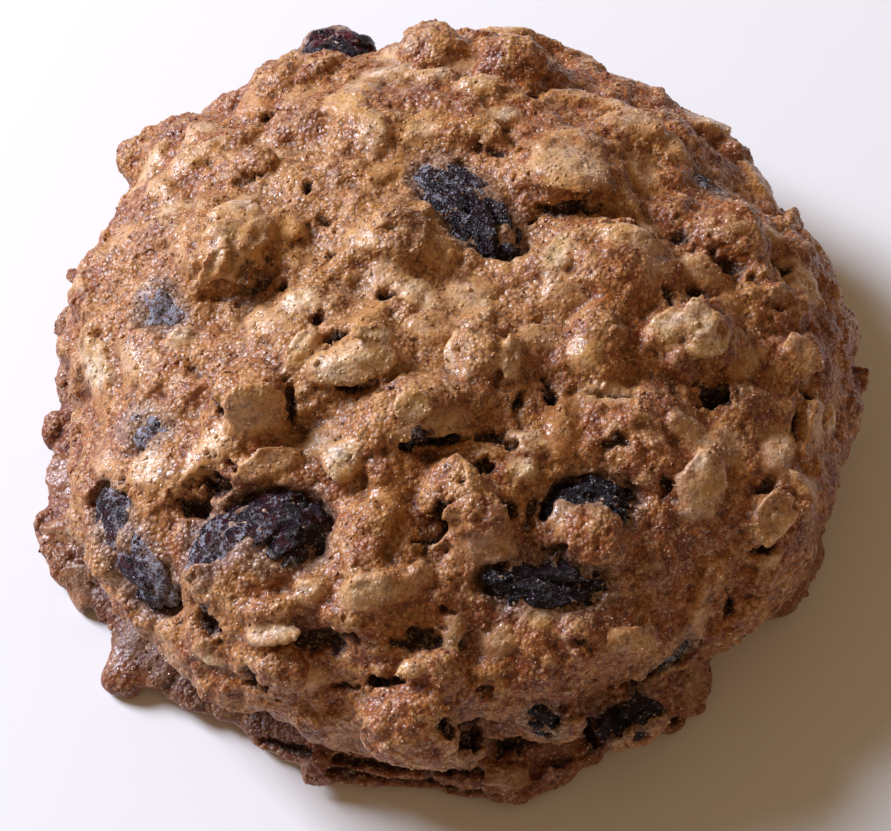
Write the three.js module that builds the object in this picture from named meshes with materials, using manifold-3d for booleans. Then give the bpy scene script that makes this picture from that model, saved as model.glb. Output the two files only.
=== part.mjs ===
// Oatmeal raisin cookie: a thick dropped biscuit with a domed, craggy top that
// overhangs a thin foot where the dough spread on the tray. Millimetres, +Z up,
// origin at the middle of the flat underside, -Y towards the viewer.
import * as THREE from 'three'
import { mergeVertices } from 'three/addons/utils/BufferGeometryUtils.js'
import { ImprovedNoise } from 'three/addons/math/ImprovedNoise.js'
import Module from 'manifold-3d'

const wasm = await Module()
wasm.setup()

// Main sizes of the biscuit.
const CROWN_Z = 25.0        // height of the dome before its lumps
const BROW_Z = 9.0          // height of the widest line of the dome
const GROOVE_Z = 5.2        // middle of the groove under the brow
const FOOT_Z = 2.0          // widest line of the thin foot
const BROW_R = 38.2         // radius at the brow before its lobes
const FOOT_R = 38.3         // radius at the foot before its lobes
const GROOVE_IN = 2.1       // how far the groove goes in from the smaller of the two
const BASE_IN = 2.0         // how far the flat underside stops short of the foot
const DOME_POWER = 2.4      // fullness of the dome, 2 is an ellipse
const COARSE = 2.4          // rise of the coarse lumps that fill in between the clods
const FINE = 1.5            // rise of the small lumps
const BED_IN = 0.3          // how far the dough round a raisin lies below the plain dome
const RAGGED = 1.2          // rise and fall of the foot's outline between its lobes
const DETAIL = 14           // facet rows of the dough
const BROW_PHI = 1.78       // polar angle that carries the brow
const BASE_PHI = 2.5        // polar angle that carries the edge of the underside
const COARSE_SIZE = 6.6     // spacing of the coarse lumps
const COARSE_SHIFT = 3.3    // where in their pattern the coarse lumps start
const FINE_SIZE = 3.4       // spacing of the small lumps
const FINE_SHIFT = 7.7      // where in their pattern the small lumps start
const MIDDLE = 0.25         // mean of the lumps' pattern, so that they neither swell nor shrink the form
const LUMP_GAIN = 1.2       // how much of a clod's or hollow's height shows
const LUMP_DEPTH = 7.0      // how deep a clod or hollow reaches along the dome's normal
const LEVEL_Z = 0.2         // below this height the dough is level
const CRAGGY_Z = 3.6        // above this height the relief is full

// Lobes of the outline: azimuth and half width in degrees, millimetres outward.
const BROW_LOBES = [
  [5, 9, 0.8], [34, 12, -1.5], [62, 7, -1.6], [82, 7, 1.5], [98, 6, 0.1], [112, 5, 2.0],
  [127, 6, -0.9], [138, 4, 2.0], [153, 6, -2.1], [172, 6, -0.2], [188, 11, -3.8], [209, 9, 0.9],
  [224, 9, 1.0], [237, 7, 0.8], [250, 8, 0.4], [264, 7, 1.0], [278, 5, -1.2], [295, 6, -2.0], [307, 6, -2.0],
  [316, 5, -1.7], [325, 5, 0.4], [344, 8, -0.8]
]
const FOOT_LOBES = [
  [20, 22, -0.8], [61, 12, -1.0], [95, 14, 0.4], [166, 5, 1.0], [188, 6, 0.2], [200, 6, 3.0],
  [209, 5, 1.4], [222, 4, 4.0], [231, 4, 0.9], [238, 5, -1.2], [252, 6, 0.8], [279, 4, 2.6],
  [295, 6, -0.5], [319, 8, -2.4], [345, 8, -0.9]
]

// Clods and hollows of the top: x, y, half length, half width, turn, height.
const CLODS = [
  [-1.9, 31.4, 2.9, 2.8, 0, 1.9], [5.6, 30.0, 3.9, 3.0, -10, 1.9], [-16.9, 29.1, 3.6, 3.0, 20, 1.4],
  [-5.5, 5.9, 4.4, 5.0, 0, 1.7], [-21.1, 6.9, 4.8, 5.6, 15, 2.3], [11.1, 13.8, 4.8, 4.8, 0, 1.5],
  [-9.8, -6.1, 6.6, 4.6, 15, 1.9], [15.8, 3.3, 5.3, 4.2, -10, 1.7], [-1.8, -12.2, 9.0, 3.0, 20, 2.0],
  [4.4, -6.3, 4.3, 3.1, 0, 1.2], [2.1, -20.9, 4.2, 4.8, 0, 1.6], [12.2, -23.2, 3.6, 2.4, 5, 1.6],
  [-7.9, -27.7, 5.6, 4.0, 0, 1.2], [9.6, -32.2, 7.0, 3.4, 5, 1.2], [-1.8, -36.2, 6.0, 4.6, 0, 1.4],
  [-15.0, -32.6, 3.4, 4.0, 0, 1.4], [21.6, -2.8, 4.3, 3.0, 20, 1.2], [21.2, -17.2, 3.8, 4.6, 0, 1.0],
  [29.6, -18.3, 4.3, 3.6, -30, 1.0], [-18.3, -10.3, 3.8, 3.6, 0, 1.2], [-28.2, -2.9, 3.8, 3.2, 0, 1.0],
  [-17.6, -27.4, 4.2, 3.4, 0, 1.2], [-12.0, 12.7, 4.4, 3.2, -15, 1.0], [13.4, -4.9, 2.9, 3.2, 0, 1.2],
  [-26.2, 14.6, 3.8, 3.2, 40, 1.0], [31.8, -7.1, 3.8, 4.2, 0, 0.9], [16.8, -14.2, 4.2, 3.0, 0, 0.8],
  [6.6, 23.6, 7.0, 2.6, -5, 1.1], [26.8, 9.6, 4.2, 3.6, 50, 0.9], [25.8, -25.4, 4.0, 3.4, -40, 1.0],
  [19.5, 20.5, 4.6, 3.4, -35, 0.9], [-7.0, 21.5, 5.0, 3.4, 10, 1.1], [-21.3, -17.2, 3.6, 2.6, 0, 0.7]
]
const HOLLOWS = [
  [-20.0, 0.9, 4.6, 1.9, 5, 1.5], [-1.4, -15.6, 3.6, 1.2, 15, 1.5], [-1.6, -22.4, 1.2, 2.6, 15, 1.6],
  [-23.2, -18.6, 2.4, 1.8, 10, 1.6], [1.6, -37.6, 5.4, 1.8, 5, 1.8], [15.8, -34.2, 4.6, 1.6, 20, 1.8],
  [-10.2, 0.6, 3.4, 1.6, 10, 0.9], [0.2, 2.0, 3.4, 1.6, -20, 0.9], [5.4, 0.4, 1.8, 3.6, 20, 0.8],
  [17.4, -8.4, 5.0, 1.7, 15, 1.0], [24.0, -9.4, 1.8, 1.8, 0, 1.7], [-12.4, -13.6, 3.0, 1.6, 20, 0.9],
  [7.0, 7.4, 1.8, 4.0, 30, 0.9], [-16.2, 18.0, 3.6, 1.6, -15, 0.9], [15.2, 9.2, 4.0, 1.5, 0, 0.9],
  [-9.5, -19.0, 3.8, 1.6, -10, 0.8], [-11.0, -34.0, 1.6, 3.2, 0, 1.0]
]

// Oat flakes that stand out of the top: x, y, half length, half width, turn.
const FLAKES = [
  [11.0, 13.2, 4.3, 3.8, 20], [-20.6, 5.8, 4.6, 3.8, 35], [-9.4, -7.4, 4.0, 1.9, 18],
  [19.3, -3.2, 2.4, 2.2, 60], [23.2, -2.2, 2.6, 1.8, -20], [15.5, 6.2, 4.0, 2.4, -15],
  [9.9, 3.3, 3.8, 1.9, 80], [-18.3, -9.8, 3.7, 3.1, -20], [-4.0, -12.0, 3.2, 2.2, 10],
  [3.5, -6.3, 3.0, 1.9, -25], [22.1, -16.1, 2.8, 2.2, 70], [28.6, -18.7, 3.2, 2.4, 35],
  [32.3, 4.2, 3.2, 2.4, 70], [-7.5, -27.7, 3.4, 2.8, 25], [-17.6, -29.9, 3.8, 2.0, 8],
  [-0.9, -34.1, 3.1, 2.4, 0], [-31.5, -3.8, 3.2, 2.4, 50], [0.0, 24.9, 3.4, 2.4, -10],
  [-14.1, 22.5, 3.2, 2.6, 30], [17.9, 20.4, 3.2, 2.4, -40], [-2.7, -2.2, 3.0, 2.0, -15]
]
const FLAKE_T = 0.85        // half thickness of a flake with its coat of dough
const FLAKE_TILT = 0.5      // spread of their tilts, radians
const FLAKE_CURL = 0.5      // how far the ends of a flake rise over its middle
const SIDE_FLAKES = 12      // flakes scattered round the sides
const SIDE_START = 0.4      // azimuth of the first of them, radians
const SIDE_Z = 11.0         // lowest of the side flakes
const SIDE_RISE = 5.0       // how much higher the highest of them is
const SIDE_LEAN = 0.45      // how far they lean back, rise of the normal for one along
const SIDE_TURN = 1.6       // spread of their turns, radians
const SIDE_LENGTH = 2.6     // least half length of a side flake
const SIDE_WIDTH = 2.0      // least half width of a side flake
const FAR_OFF = 60.0        // clear of the biscuit, where the lines that look for its skin start

// Raisins: name, x, y, half length, half width, half thickness, turn, sink below the dome.
const RAISINS = [
  ['raisin_back_rim', -10.8, 34.8, 4.1, 3.4, 2.8, -16, 1.0],
  ['raisin_back', 1.5, 10.5, 7.6, 3.6, 3.0, -50, 2.0],
  ['raisin_left_high', -26.9, 1.6, 4.2, 2.8, 2.5, -49, 2.1],
  ['raisin_left_mid', -27.8, -10.6, 4.0, 2.4, 2.3, -31, 1.9],
  ['raisin_left_edge', -28.8, -21.3, 7.2, 3.0, 2.7, -60, 1.8],
  ['raisin_front_left', -17.3, -24.0, 7.4, 5.6, 3.5, 22, 1.6],
  ['raisin_arch', 12.8, -20.0, 4.9, 3.2, 2.9, 12, 1.9],
  ['raisin_front', 10.2, -26.8, 7.6, 2.9, 2.8, -4, 1.7],
  ['raisin_brow_mid', 8.7, -36.4, 3.6, 2.6, 2.4, -60, 1.6],
  ['raisin_brow_right', 16.2, -34.2, 3.6, 2.3, 2.2, 18, 2.0],
  ['raisin_right_low', 20.3, -29.4, 3.2, 2.0, 2.0, 27, 1.7],
  ['raisin_right_back', 24.3, 15.7, 2.6, 1.9, 2.0, -48, 1.8]
]
const BIG_RAISIN = 6.0      // half length from which a raisin gets the finer facets
const GAP = 0.3             // clearance between a raisin and its pocket
const FACET = 0.965        // least radius of a faceted unit ball
const WRINKLE = 0.2         // deepest wrinkle as a part of the raisin's radius
const WRINKLE_MEAN = 0.45   // share of the deepest wrinkle that the raisin is drawn in by all over
const FOLDS = 0.8           // rise and fall of the long folds round that
const DENTS = 0.5           // rise and fall of the broad dents round that
const BED_MARGIN = 1.5      // how far the dough is settled round a raisin

const noise = new ImprovedNoise()
const chance = THREE.MathUtils.seededRandom
const rad = THREE.MathUtils.degToRad
const Z = new THREE.Vector3(0, 0, 1)
const GOLDEN = Math.PI * (3 - Math.sqrt(5))

// Radius at an azimuth: the plain radius with every lobe that reaches it.
function lobed (radius, lobes, azimuth) {
  return lobes.reduce((sum, [at, width, out]) => {
    const off = Math.atan2(Math.sin(azimuth - rad(at)), Math.cos(azimuth - rad(at)))
    return sum + out * Math.exp(-((off / rad(width)) ** 2))
  }, radius)
}

// Height of the plain dome over a point of the plan.
function domeHeight (x, y) {
  const part = Math.min(0.999, Math.hypot(x, y) / lobed(BROW_R, BROW_LOBES, Math.atan2(y, x)))
  return BROW_Z + (CROWN_Z - BROW_Z) * Math.sqrt(1 - part ** DOME_POWER)
}

// Point, normal and two directions along the plain dome, the first at the given turn.
function domeFrame (x, y, turn) {
  const step = 0.5
  const normal = new THREE.Vector3(
    domeHeight(x - step, y) - domeHeight(x + step, y),
    domeHeight(x, y - step) - domeHeight(x, y + step), 2 * step).normalize()
  const along = new THREE.Vector3(Math.cos(rad(turn)), Math.sin(rad(turn)), 0)
  along.addScaledVector(normal, -along.dot(normal)).normalize()
  const across = new THREE.Vector3().crossVectors(normal, along)
  return { point: new THREE.Vector3(x, y, domeHeight(x, y)), normal, along, across }
}

// One clod or hollow as a function of a point: flat in the middle, steep at its rim.
function lump ([x, y, length, width, turn, height]) {
  const { point, normal, along, across } = domeFrame(x, y, turn)
  return (p) => {
    const off = p.clone().sub(point)
    const d = Math.hypot(off.dot(along) / length, off.dot(across) / width, off.dot(normal) / LUMP_DEPTH)
    return height * Math.exp(-(d ** 3))
  }
}
const clods = CLODS.map(lump)
const hollows = HOLLOWS.map(lump)
const beds = RAISINS.map(([, x, y, length, width, , turn]) =>
  lump([x, y, length + BED_MARGIN, width + BED_MARGIN, turn, 1]))

// Height of the crags over the plain form, gone at the flat underside.
function relief (p) {
  const wide = p.clone().divideScalar(COARSE_SIZE)
  const close = p.clone().divideScalar(FINE_SIZE)
  const coarse = Math.abs(noise.noise(wide.x + COARSE_SHIFT, wide.y, wide.z)) - MIDDLE
  const fine = Math.abs(noise.noise(close.x, close.y + FINE_SHIFT, close.z)) - MIDDLE
  const raised = clods.reduce((most, f) => Math.max(most, f(p)), 0)
  const sunk = hollows.reduce((sum, f) => sum + f(p), 0)
  const bed = Math.min(1, beds.reduce((sum, f) => sum + f(p), 0))
  const lumps = (COARSE * coarse + FINE * fine) * (1 - bed) - BED_IN * bed
  return (LUMP_GAIN * (raised - sunk) + lumps) * THREE.MathUtils.smoothstep(p.z, LEVEL_Z, CRAGGY_Z)
}

// Point of the plain form for a direction: dome, groove, foot and flat underside.
function formPoint (direction, target) {
  const azimuth = Math.atan2(direction.y, direction.x)
  const phi = Math.acos(THREE.MathUtils.clamp(direction.z, -1, 1))
  const brow = lobed(BROW_R, BROW_LOBES, azimuth)
  const foot = lobed(FOOT_R, FOOT_LOBES, azimuth) +
    RAGGED * noise.noise(4.1 * Math.cos(azimuth), 4.1 * Math.sin(azimuth), 0.5)
  let r
  let z = 0
  if (phi < BROW_PHI) {
    const u = phi / BROW_PHI * Math.PI / 2
    r = brow * Math.sin(u) ** (2 / DOME_POWER)
    z = BROW_Z + (CROWN_Z - BROW_Z) * Math.cos(u)
  } else if (phi < BASE_PHI) {
    const depth = 1 + noise.noise(2.3 * Math.cos(azimuth), 2.3 * Math.sin(azimuth), 2.5)
    const groove = Math.min(brow, foot) - GROOVE_IN * depth
    const side = new THREE.SplineCurve([
      new THREE.Vector2(brow, BROW_Z), new THREE.Vector2((brow + groove) / 2, (BROW_Z + GROOVE_Z) / 2),
      new THREE.Vector2(groove, GROOVE_Z), new THREE.Vector2(foot, FOOT_Z),
      new THREE.Vector2(foot - BASE_IN, 0)
    ]).getPoint((phi - BROW_PHI) / (BASE_PHI - BROW_PHI))
    r = side.x
    z = Math.max(0, side.y)
  } else {
    r = (foot - BASE_IN) * (Math.PI - phi) / (Math.PI - BASE_PHI)
  }
  return target.set(r * Math.cos(azimuth), r * Math.sin(azimuth), z)
}

// A unit ball with shared corners, facets of nearly one size.
function ball (detail) {
  const geometry = new THREE.IcosahedronGeometry(1, detail)
  geometry.deleteAttribute('normal')
  geometry.deleteAttribute('uv')
  return mergeVertices(geometry, 1e-5)
}

// Moves every corner of a geometry by a function of its place.
function reshape (geometry, move) {
  const position = geometry.attributes.position
  const p = new THREE.Vector3()
  for (let i = 0; i < position.count; i++) {
    move(p.fromBufferAttribute(position, i), i)
    position.setXYZ(i, p.x, p.y, p.z)
  }
  geometry.computeVertexNormals()
  return geometry
}

function makeDough () {
  const step = Math.PI / (3 * DETAIL)
  const plain = reshape(ball(DETAIL), (p) => {
    const phi = Math.acos(THREE.MathUtils.clamp(p.z, -1, 1))
    if (Math.abs(phi - BASE_PHI) < step / 2) {
      const flat = Math.hypot(p.x, p.y)
      p.set(p.x / flat * Math.sin(BASE_PHI), p.y / flat * Math.sin(BASE_PHI), Math.cos(BASE_PHI))
    }
    formPoint(p, p)
  })
  const normal = plain.attributes.normal.clone()
  const n = new THREE.Vector3()
  return reshape(plain, (p, i) => {
    p.addScaledVector(n.fromBufferAttribute(normal, i), relief(p))
    p.z = Math.max(0, p.z)
  })
}

// Turns a geometry made along X, Y, Z onto a place with three directions.
function seat (geometry, point, along, across, normal) {
  return geometry.applyMatrix4(new THREE.Matrix4().makeBasis(along, across, normal).setPosition(point))
}

// An oat flake: a thin oval cushion lying on the dough.
function makeFlake (length, width, place) {
  const flake = new THREE.SphereGeometry(1, 8, 5).rotateX(Math.PI / 2).scale(length, width, FLAKE_T)
  reshape(flake, (p) => { p.z += FLAKE_CURL * ((p.x / length) ** 2 - 0.5) })
  flake.rotateX((chance() - 0.5) * FLAKE_TILT).rotateY((chance() - 0.5) * FLAKE_TILT)
  return seat(flake, place.point, place.along, place.across, place.normal)
}

// Places for the side flakes, spread round the dome by the golden angle.
function sidePlaces (dough) {
  const body = new THREE.Mesh(dough, new THREE.MeshBasicMaterial({ side: THREE.DoubleSide }))
  return Array.from({ length: SIDE_FLAKES }, (_, i) => {
    const azimuth = i * GOLDEN + SIDE_START
    const out = new THREE.Vector3(Math.cos(azimuth), Math.sin(azimuth), 0)
    const start = out.clone().multiplyScalar(FAR_OFF).setZ(SIDE_Z + SIDE_RISE * chance())
    const hit = new THREE.Raycaster(start, out.clone().negate()).intersectObject(body)[0]
    const normal = out.clone().setZ(SIDE_LEAN).normalize()
    const along = new THREE.Vector3().crossVectors(Z, normal).normalize()
      .applyAxisAngle(normal, (chance() - 0.5) * SIDE_TURN)
    return { point: hit.point, normal, along, across: new THREE.Vector3().crossVectors(normal, along) }
  })
}

// Places for the flakes of the top: straight down onto the crags.
function topPlaces (dough) {
  const body = new THREE.Mesh(dough, new THREE.MeshBasicMaterial({ side: THREE.DoubleSide }))
  return FLAKES.map(([x, y, , , turn]) => {
    const place = domeFrame(x, y, turn)
    const start = new THREE.Vector3(x, y, FAR_OFF)
    place.point = new THREE.Raycaster(start, Z.clone().negate()).intersectObject(body)[0].point
    return place
  })
}

// The centre of a raisin: on the dome's normal, sunk by its own measure.
function raisinPlace ([, x, y, , , , turn, sink]) {
  const place = domeFrame(x, y, turn)
  place.point.addScaledVector(place.normal, -sink)
  return place
}

// A raisin: an oval ball drawn in by wrinkles that run mostly lengthwise.
function makeRaisin (row, index) {
  const [, , , length, width, thick] = row
  const { point, along, across, normal } = raisinPlace(row)
  const raisin = reshape(ball(length > BIG_RAISIN ? 3 : 2), (p) => {
    const fold = noise.noise(p.x * 1.3 + index * 3.1, p.y * 2.6, p.z * 2.6 + index)
    const dent = noise.noise(p.x * 1.1, p.y * 1.1 + index * 1.7, p.z * 1.1)
    const inward = THREE.MathUtils.clamp(WRINKLE_MEAN + FOLDS * fold + DENTS * dent, 0, 1)
    p.multiplyScalar(1 - WRINKLE * inward)
    p.set(p.x * length, p.y * width, p.z * thick)
  })
  return seat(raisin, point, along, across, normal)
}

// The pocket for a raisin: its plain oval grown by the clearance.
function makePocket (row) {
  const [, , , length, width, thick] = row
  const { point, along, across, normal } = raisinPlace(row)
  const grown = ball(2)
    .scale((length + GAP) / FACET, (width + GAP) / FACET, (thick + GAP) / FACET)
  return seat(grown, point, along, across, normal)
}

function toManifold (geometry) {
  const clean = geometry.clone()
  clean.deleteAttribute('normal')
  if (clean.hasAttribute('uv')) clean.deleteAttribute('uv')
  const welded = mergeVertices(clean, 1e-4)
  return new wasm.Manifold(new wasm.Mesh({
    numProp: 3,
    vertProperties: new Float32Array(welded.attributes.position.array),
    triVerts: new Uint32Array(welded.index.array)
  }))
}

function toGeometry (solid) {
  const mesh = solid.getMesh()
  const geometry = new THREE.BufferGeometry()
  geometry.setAttribute('position', new THREE.BufferAttribute(new Float32Array(mesh.vertProperties), 3))
  geometry.setIndex(new THREE.BufferAttribute(new Uint32Array(mesh.triVerts), 1))
  geometry.computeVertexNormals()
  return geometry
}

// The dough with its flakes, less the pockets; crumbs cut loose by them are left out.
function makeBiscuit () {
  const dough = makeDough()
  chance(11)
  let solid = toManifold(dough)
  topPlaces(dough).forEach((place, i) => {
    solid = solid.add(toManifold(makeFlake(FLAKES[i][2], FLAKES[i][3], place)))
  })
  for (const place of sidePlaces(dough)) {
    const length = SIDE_LENGTH * (1 + 0.45 * chance())
    const width = SIDE_WIDTH * (1 + 0.3 * chance())
    solid = solid.add(toManifold(makeFlake(length, width, place)))
  }
  for (const row of RAISINS) solid = solid.subtract(toManifold(makePocket(row)))
  const pieces = solid.decompose().sort((a, b) => b.volume() - a.volume())
  return toGeometry(pieces[0])
}

const group = new THREE.Group()
group.name = 'oatmeal_raisin_cookie'

function addNode (name, geometry, color, roughness) {
  const mesh = new THREE.Mesh(geometry, new THREE.MeshStandardMaterial({ color, roughness, metalness: 0 }))
  mesh.name = name
  group.add(mesh)
}

addNode('dough', makeBiscuit(), '#b07c4a', 0.85)
RAISINS.forEach((row, i) => addNode(row[0], makeRaisin(row, i), '#2a161b', 0.5))

export default group
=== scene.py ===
# %% [markdown]
# # An oatmeal raisin cookie
#
# A drop cookie is a ball of stiff dough that slumps while it bakes. What is left is a craggy dome that hangs
# over a thin, darker foot where the dough first spread on the tray. Rolled oat flakes lie in the dough under
# a thin skin of it, and raisins sit in pockets, wrinkled, dark and half dusted.
#
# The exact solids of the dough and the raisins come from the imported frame. Everything here is fitted to
# them: this script gives them their fine surface, their colours, a floor, some light and a camera.

# %% Load the frame
import math

import bmesh
import bpy
import numpy as np
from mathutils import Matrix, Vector, noise
from mathutils.bvhtree import BVHTree
from mathutils.kdtree import KDTree


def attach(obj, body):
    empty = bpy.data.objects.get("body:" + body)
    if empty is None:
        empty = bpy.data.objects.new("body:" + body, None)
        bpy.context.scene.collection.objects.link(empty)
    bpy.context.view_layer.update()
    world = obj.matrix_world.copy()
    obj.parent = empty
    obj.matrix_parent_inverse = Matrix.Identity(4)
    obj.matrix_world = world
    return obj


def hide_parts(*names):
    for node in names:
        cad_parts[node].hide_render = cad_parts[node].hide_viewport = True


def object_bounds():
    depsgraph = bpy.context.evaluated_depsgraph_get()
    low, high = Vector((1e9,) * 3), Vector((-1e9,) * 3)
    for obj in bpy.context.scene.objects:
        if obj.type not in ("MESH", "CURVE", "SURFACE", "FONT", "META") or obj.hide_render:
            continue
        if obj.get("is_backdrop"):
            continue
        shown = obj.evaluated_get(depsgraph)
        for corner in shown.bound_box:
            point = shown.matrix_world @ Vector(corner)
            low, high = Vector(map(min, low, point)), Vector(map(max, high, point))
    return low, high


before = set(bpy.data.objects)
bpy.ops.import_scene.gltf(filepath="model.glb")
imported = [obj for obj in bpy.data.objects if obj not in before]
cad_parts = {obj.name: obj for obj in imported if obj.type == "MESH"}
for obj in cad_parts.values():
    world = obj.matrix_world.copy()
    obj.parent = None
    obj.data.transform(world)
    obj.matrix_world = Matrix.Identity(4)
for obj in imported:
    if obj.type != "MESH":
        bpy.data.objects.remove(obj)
cad_box = [list(corner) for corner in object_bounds()]
MM = 0.001
RAISINS = [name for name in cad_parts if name.startswith("raisin")]
print("solids:", len(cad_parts), "raisins:", len(RAISINS))

# %% [markdown]
# ## The camera
#
# A view of food from well above shows the top and just enough of the near side to tell how thick it is. The
# camera is placed by three facts: how far it looks down, how far off it stands, and where in the picture the
# middle of the underside falls. From these its place follows by plain geometry.

# %% Camera
FRAME_PIXELS = (891, 831)
BASE_PIXEL = (450, 432)      # where the middle of the underside falls in the picture
PIXEL = 0.0965 * MM          # what one pixel covers at the middle of the underside
LOOK_DOWN = math.radians(60)
STAND_OFF = 330 * MM
SENSOR = 36.0

right = Vector((1, 0, 0))
up = Vector((0, math.sin(LOOK_DOWN), math.cos(LOOK_DOWN)))
forward = Vector((0, math.cos(LOOK_DOWN), -math.sin(LOOK_DOWN)))
aim = (right * (FRAME_PIXELS[0] / 2 - BASE_PIXEL[0]) + up * (BASE_PIXEL[1] - FRAME_PIXELS[1] / 2)) * PIXEL

camera_data = bpy.data.cameras.new("camera")
camera_data.sensor_width = SENSOR
camera_data.lens = SENSOR * STAND_OFF / (PIXEL * FRAME_PIXELS[0])
camera_data.clip_start = 10 * MM
camera = bpy.data.objects.new("camera", camera_data)
camera.location = aim - forward * STAND_OFF
camera.rotation_euler = (math.pi / 2 - LOOK_DOWN, 0, 0)
bpy.context.collection.objects.link(camera)
bpy.context.scene.camera = camera
print("camera at", [round(v / MM, 1) for v in camera.location], "mm, lens", round(camera_data.lens, 1))

# %% [markdown]
# ## Helpers for meshes
#
# All shaping is done on plain arrays of points in millimetres. A piece is turned into a Blender object only
# when its shape is ready, so every step can be read as arithmetic on points.

# %% Arrays in and pieces out
def arrays_of(mesh):
    """Points in millimetres and triangles of a mesh."""
    mesh.calc_loop_triangles()
    points = np.empty(len(mesh.vertices) * 3)
    mesh.vertices.foreach_get("co", points)
    corners = np.empty(len(mesh.loop_triangles) * 3, dtype=np.int32)
    mesh.loop_triangles.foreach_get("vertices", corners)
    return points.reshape(-1, 3) / MM, corners.reshape(-1, 3)


def new_piece(name, points, faces):
    """A smooth shaded object from points in millimetres."""
    mesh = bpy.data.meshes.new(name)
    mesh.from_pydata((points * MM).tolist(), [], faces.tolist())
    mesh.shade_smooth()
    piece = bpy.data.objects.new(name, mesh)
    bpy.context.collection.objects.link(piece)
    return piece


def paint(piece, name, values):
    """Stores one number a point on the piece, for its material to read."""
    layer = piece.data.attributes.new(name, "FLOAT", "POINT")
    layer.data.foreach_set("value", np.asarray(values, dtype=np.float32))


def unit(vectors):
    return vectors / np.maximum(np.linalg.norm(vectors, axis=-1, keepdims=True), 1e-9)


def smoothstep(low, high, value):
    part = np.clip((value - low) / (high - low), 0, 1)
    return part * part * (3 - 2 * part)


def tree_of(points, faces):
    return BVHTree.FromPolygons(points.tolist(), faces.tolist())


# %% Normals, neighbours and noise
def face_crosses(points, faces):
    """A vector square to each face, as long as twice the face's area."""
    corner = points[faces]
    return np.cross(corner[:, 1] - corner[:, 0], corner[:, 2] - corner[:, 0])


def normals_of(points, faces):
    cross = np.repeat(face_crosses(points, faces), 3, axis=0)
    total = [np.bincount(faces.ravel(), cross[:, k], len(points)) for k in range(3)]
    return unit(np.stack(total, 1))


def edges_of(faces):
    pairs = np.sort(np.concatenate([faces[:, [0, 1]], faces[:, [1, 2]], faces[:, [2, 0]]]), axis=1)
    return np.unique(pairs, axis=0)


def averaged(values, edges, rounds):
    """Each point's value drawn towards that of its neighbours, again and again."""
    count = len(values)
    degree = np.bincount(edges.ravel(), minlength=count)[:, None]
    for _ in range(rounds):
        total = np.stack([
            np.bincount(edges[:, 0], values[edges[:, 1], k], count)
            + np.bincount(edges[:, 1], values[edges[:, 0], k], count)
            for k in range(values.shape[1])], 1)
        values = 0.5 * values + 0.5 * total / degree
    return values


def noise_at(points, size, shift=0.0):
    """Smooth noise from -1 to 1 whose lumps are about `size` millimetres."""
    offset = Vector((shift, shift * 0.7, -shift))
    return np.array([noise.noise(Vector(p) + offset) for p in (points / size).tolist()])


def ball_of(subdivisions):
    """Points and faces of a unit ball of triangles."""
    mesh = bmesh.new()
    bmesh.ops.create_icosphere(mesh, subdivisions=subdivisions, radius=1)
    points = np.array([vertex.co[:] for vertex in mesh.verts])
    faces = np.array([[vertex.index for vertex in face.verts] for face in mesh.faces])
    mesh.free()
    return points, faces


def put_together(parts):
    """Several point and face arrays as one."""
    starts = np.cumsum([0] + [len(points) for points, _ in parts[:-1]])
    return (np.concatenate([points for points, _ in parts]),
            np.concatenate([faces + start for (_, faces), start in zip(parts, starts)]))


# %% Skins
def modified(piece):
    """The arrays of a piece after its modifiers; the piece itself is used up."""
    graph = bpy.context.evaluated_depsgraph_get()
    mesh = bpy.data.meshes.new_from_object(piece.evaluated_get(graph))
    result = arrays_of(mesh)
    bpy.data.objects.remove(piece)
    bpy.data.meshes.remove(mesh)
    return result


def remeshed(name, points, faces, voxel):
    """One closed skin round everything, of faces as large as a voxel."""
    piece = new_piece(name, points, faces)
    modifier = piece.modifiers.new("skin", "REMESH")
    modifier.mode = "VOXEL"
    modifier.voxel_size = voxel * MM
    return modified(piece)


def thinned(name, points, faces, plain, share):
    """The same skin with a share of its faces, taken only from where it is plain if that is given."""
    piece = new_piece(name, points, faces)
    modifier = piece.modifiers.new("thin", "DECIMATE")
    modifier.ratio = min(1.0, share)
    if plain is not None:
        piece.vertex_groups.new(name="plain").add(np.nonzero(plain)[0].tolist(), 1.0, "REPLACE")
        modifier.vertex_group = "plain"
    return modified(piece)


# %% Places on a surface
def scattered(points, faces, count, rng, lowest):
    """Random places, their normals and faces, spread evenly over what lies above a height."""
    corner = points[faces]
    cross = face_crosses(points, faces)
    area = np.linalg.norm(cross, axis=1)
    weight = area * (corner[:, :, 2].mean(axis=1) > lowest)
    chosen = rng.choice(len(faces), count, p=weight / weight.sum())
    part = rng.random((count, 2, 1))
    part = np.where(part.sum(axis=1, keepdims=True) > 1, 1 - part, part)
    start = corner[chosen, 0]
    places = start + part[:, 0] * (corner[chosen, 1] - start) + part[:, 1] * (corner[chosen, 2] - start)
    return places, cross[chosen] / area[chosen, None], chosen


RING = 1.8               # radius of the ring of places over which the outward direction is averaged


class Spot:
    """A place on a surface with its outward, lengthwise and crosswise directions."""

    def __init__(self, tree, place, facing, lengthwise):
        side = facing.cross(lengthwise)
        ring = [place + RING * (math.cos(a) * lengthwise + math.sin(a) * side)
                for a in np.arange(0, 2 * math.pi, math.pi / 4)]
        normal = sum((tree.find_nearest(point)[1] for point in ring), Vector(facing))
        self.place = np.array(place)
        out = normal.normalized()
        along = (lengthwise - out * lengthwise.dot(out)).normalized()
        self.out = np.array(out)
        self.along = np.array(along)
        self.across = np.array(out.cross(along))

    def local(self, points):
        """Lengthwise, crosswise and outward distance of each point from the place."""
        return (points - self.place) @ np.stack([self.along, self.across, self.out], 1)

    def world(self, local):
        return self.place + local @ np.stack([self.along, self.across, self.out])


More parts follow.
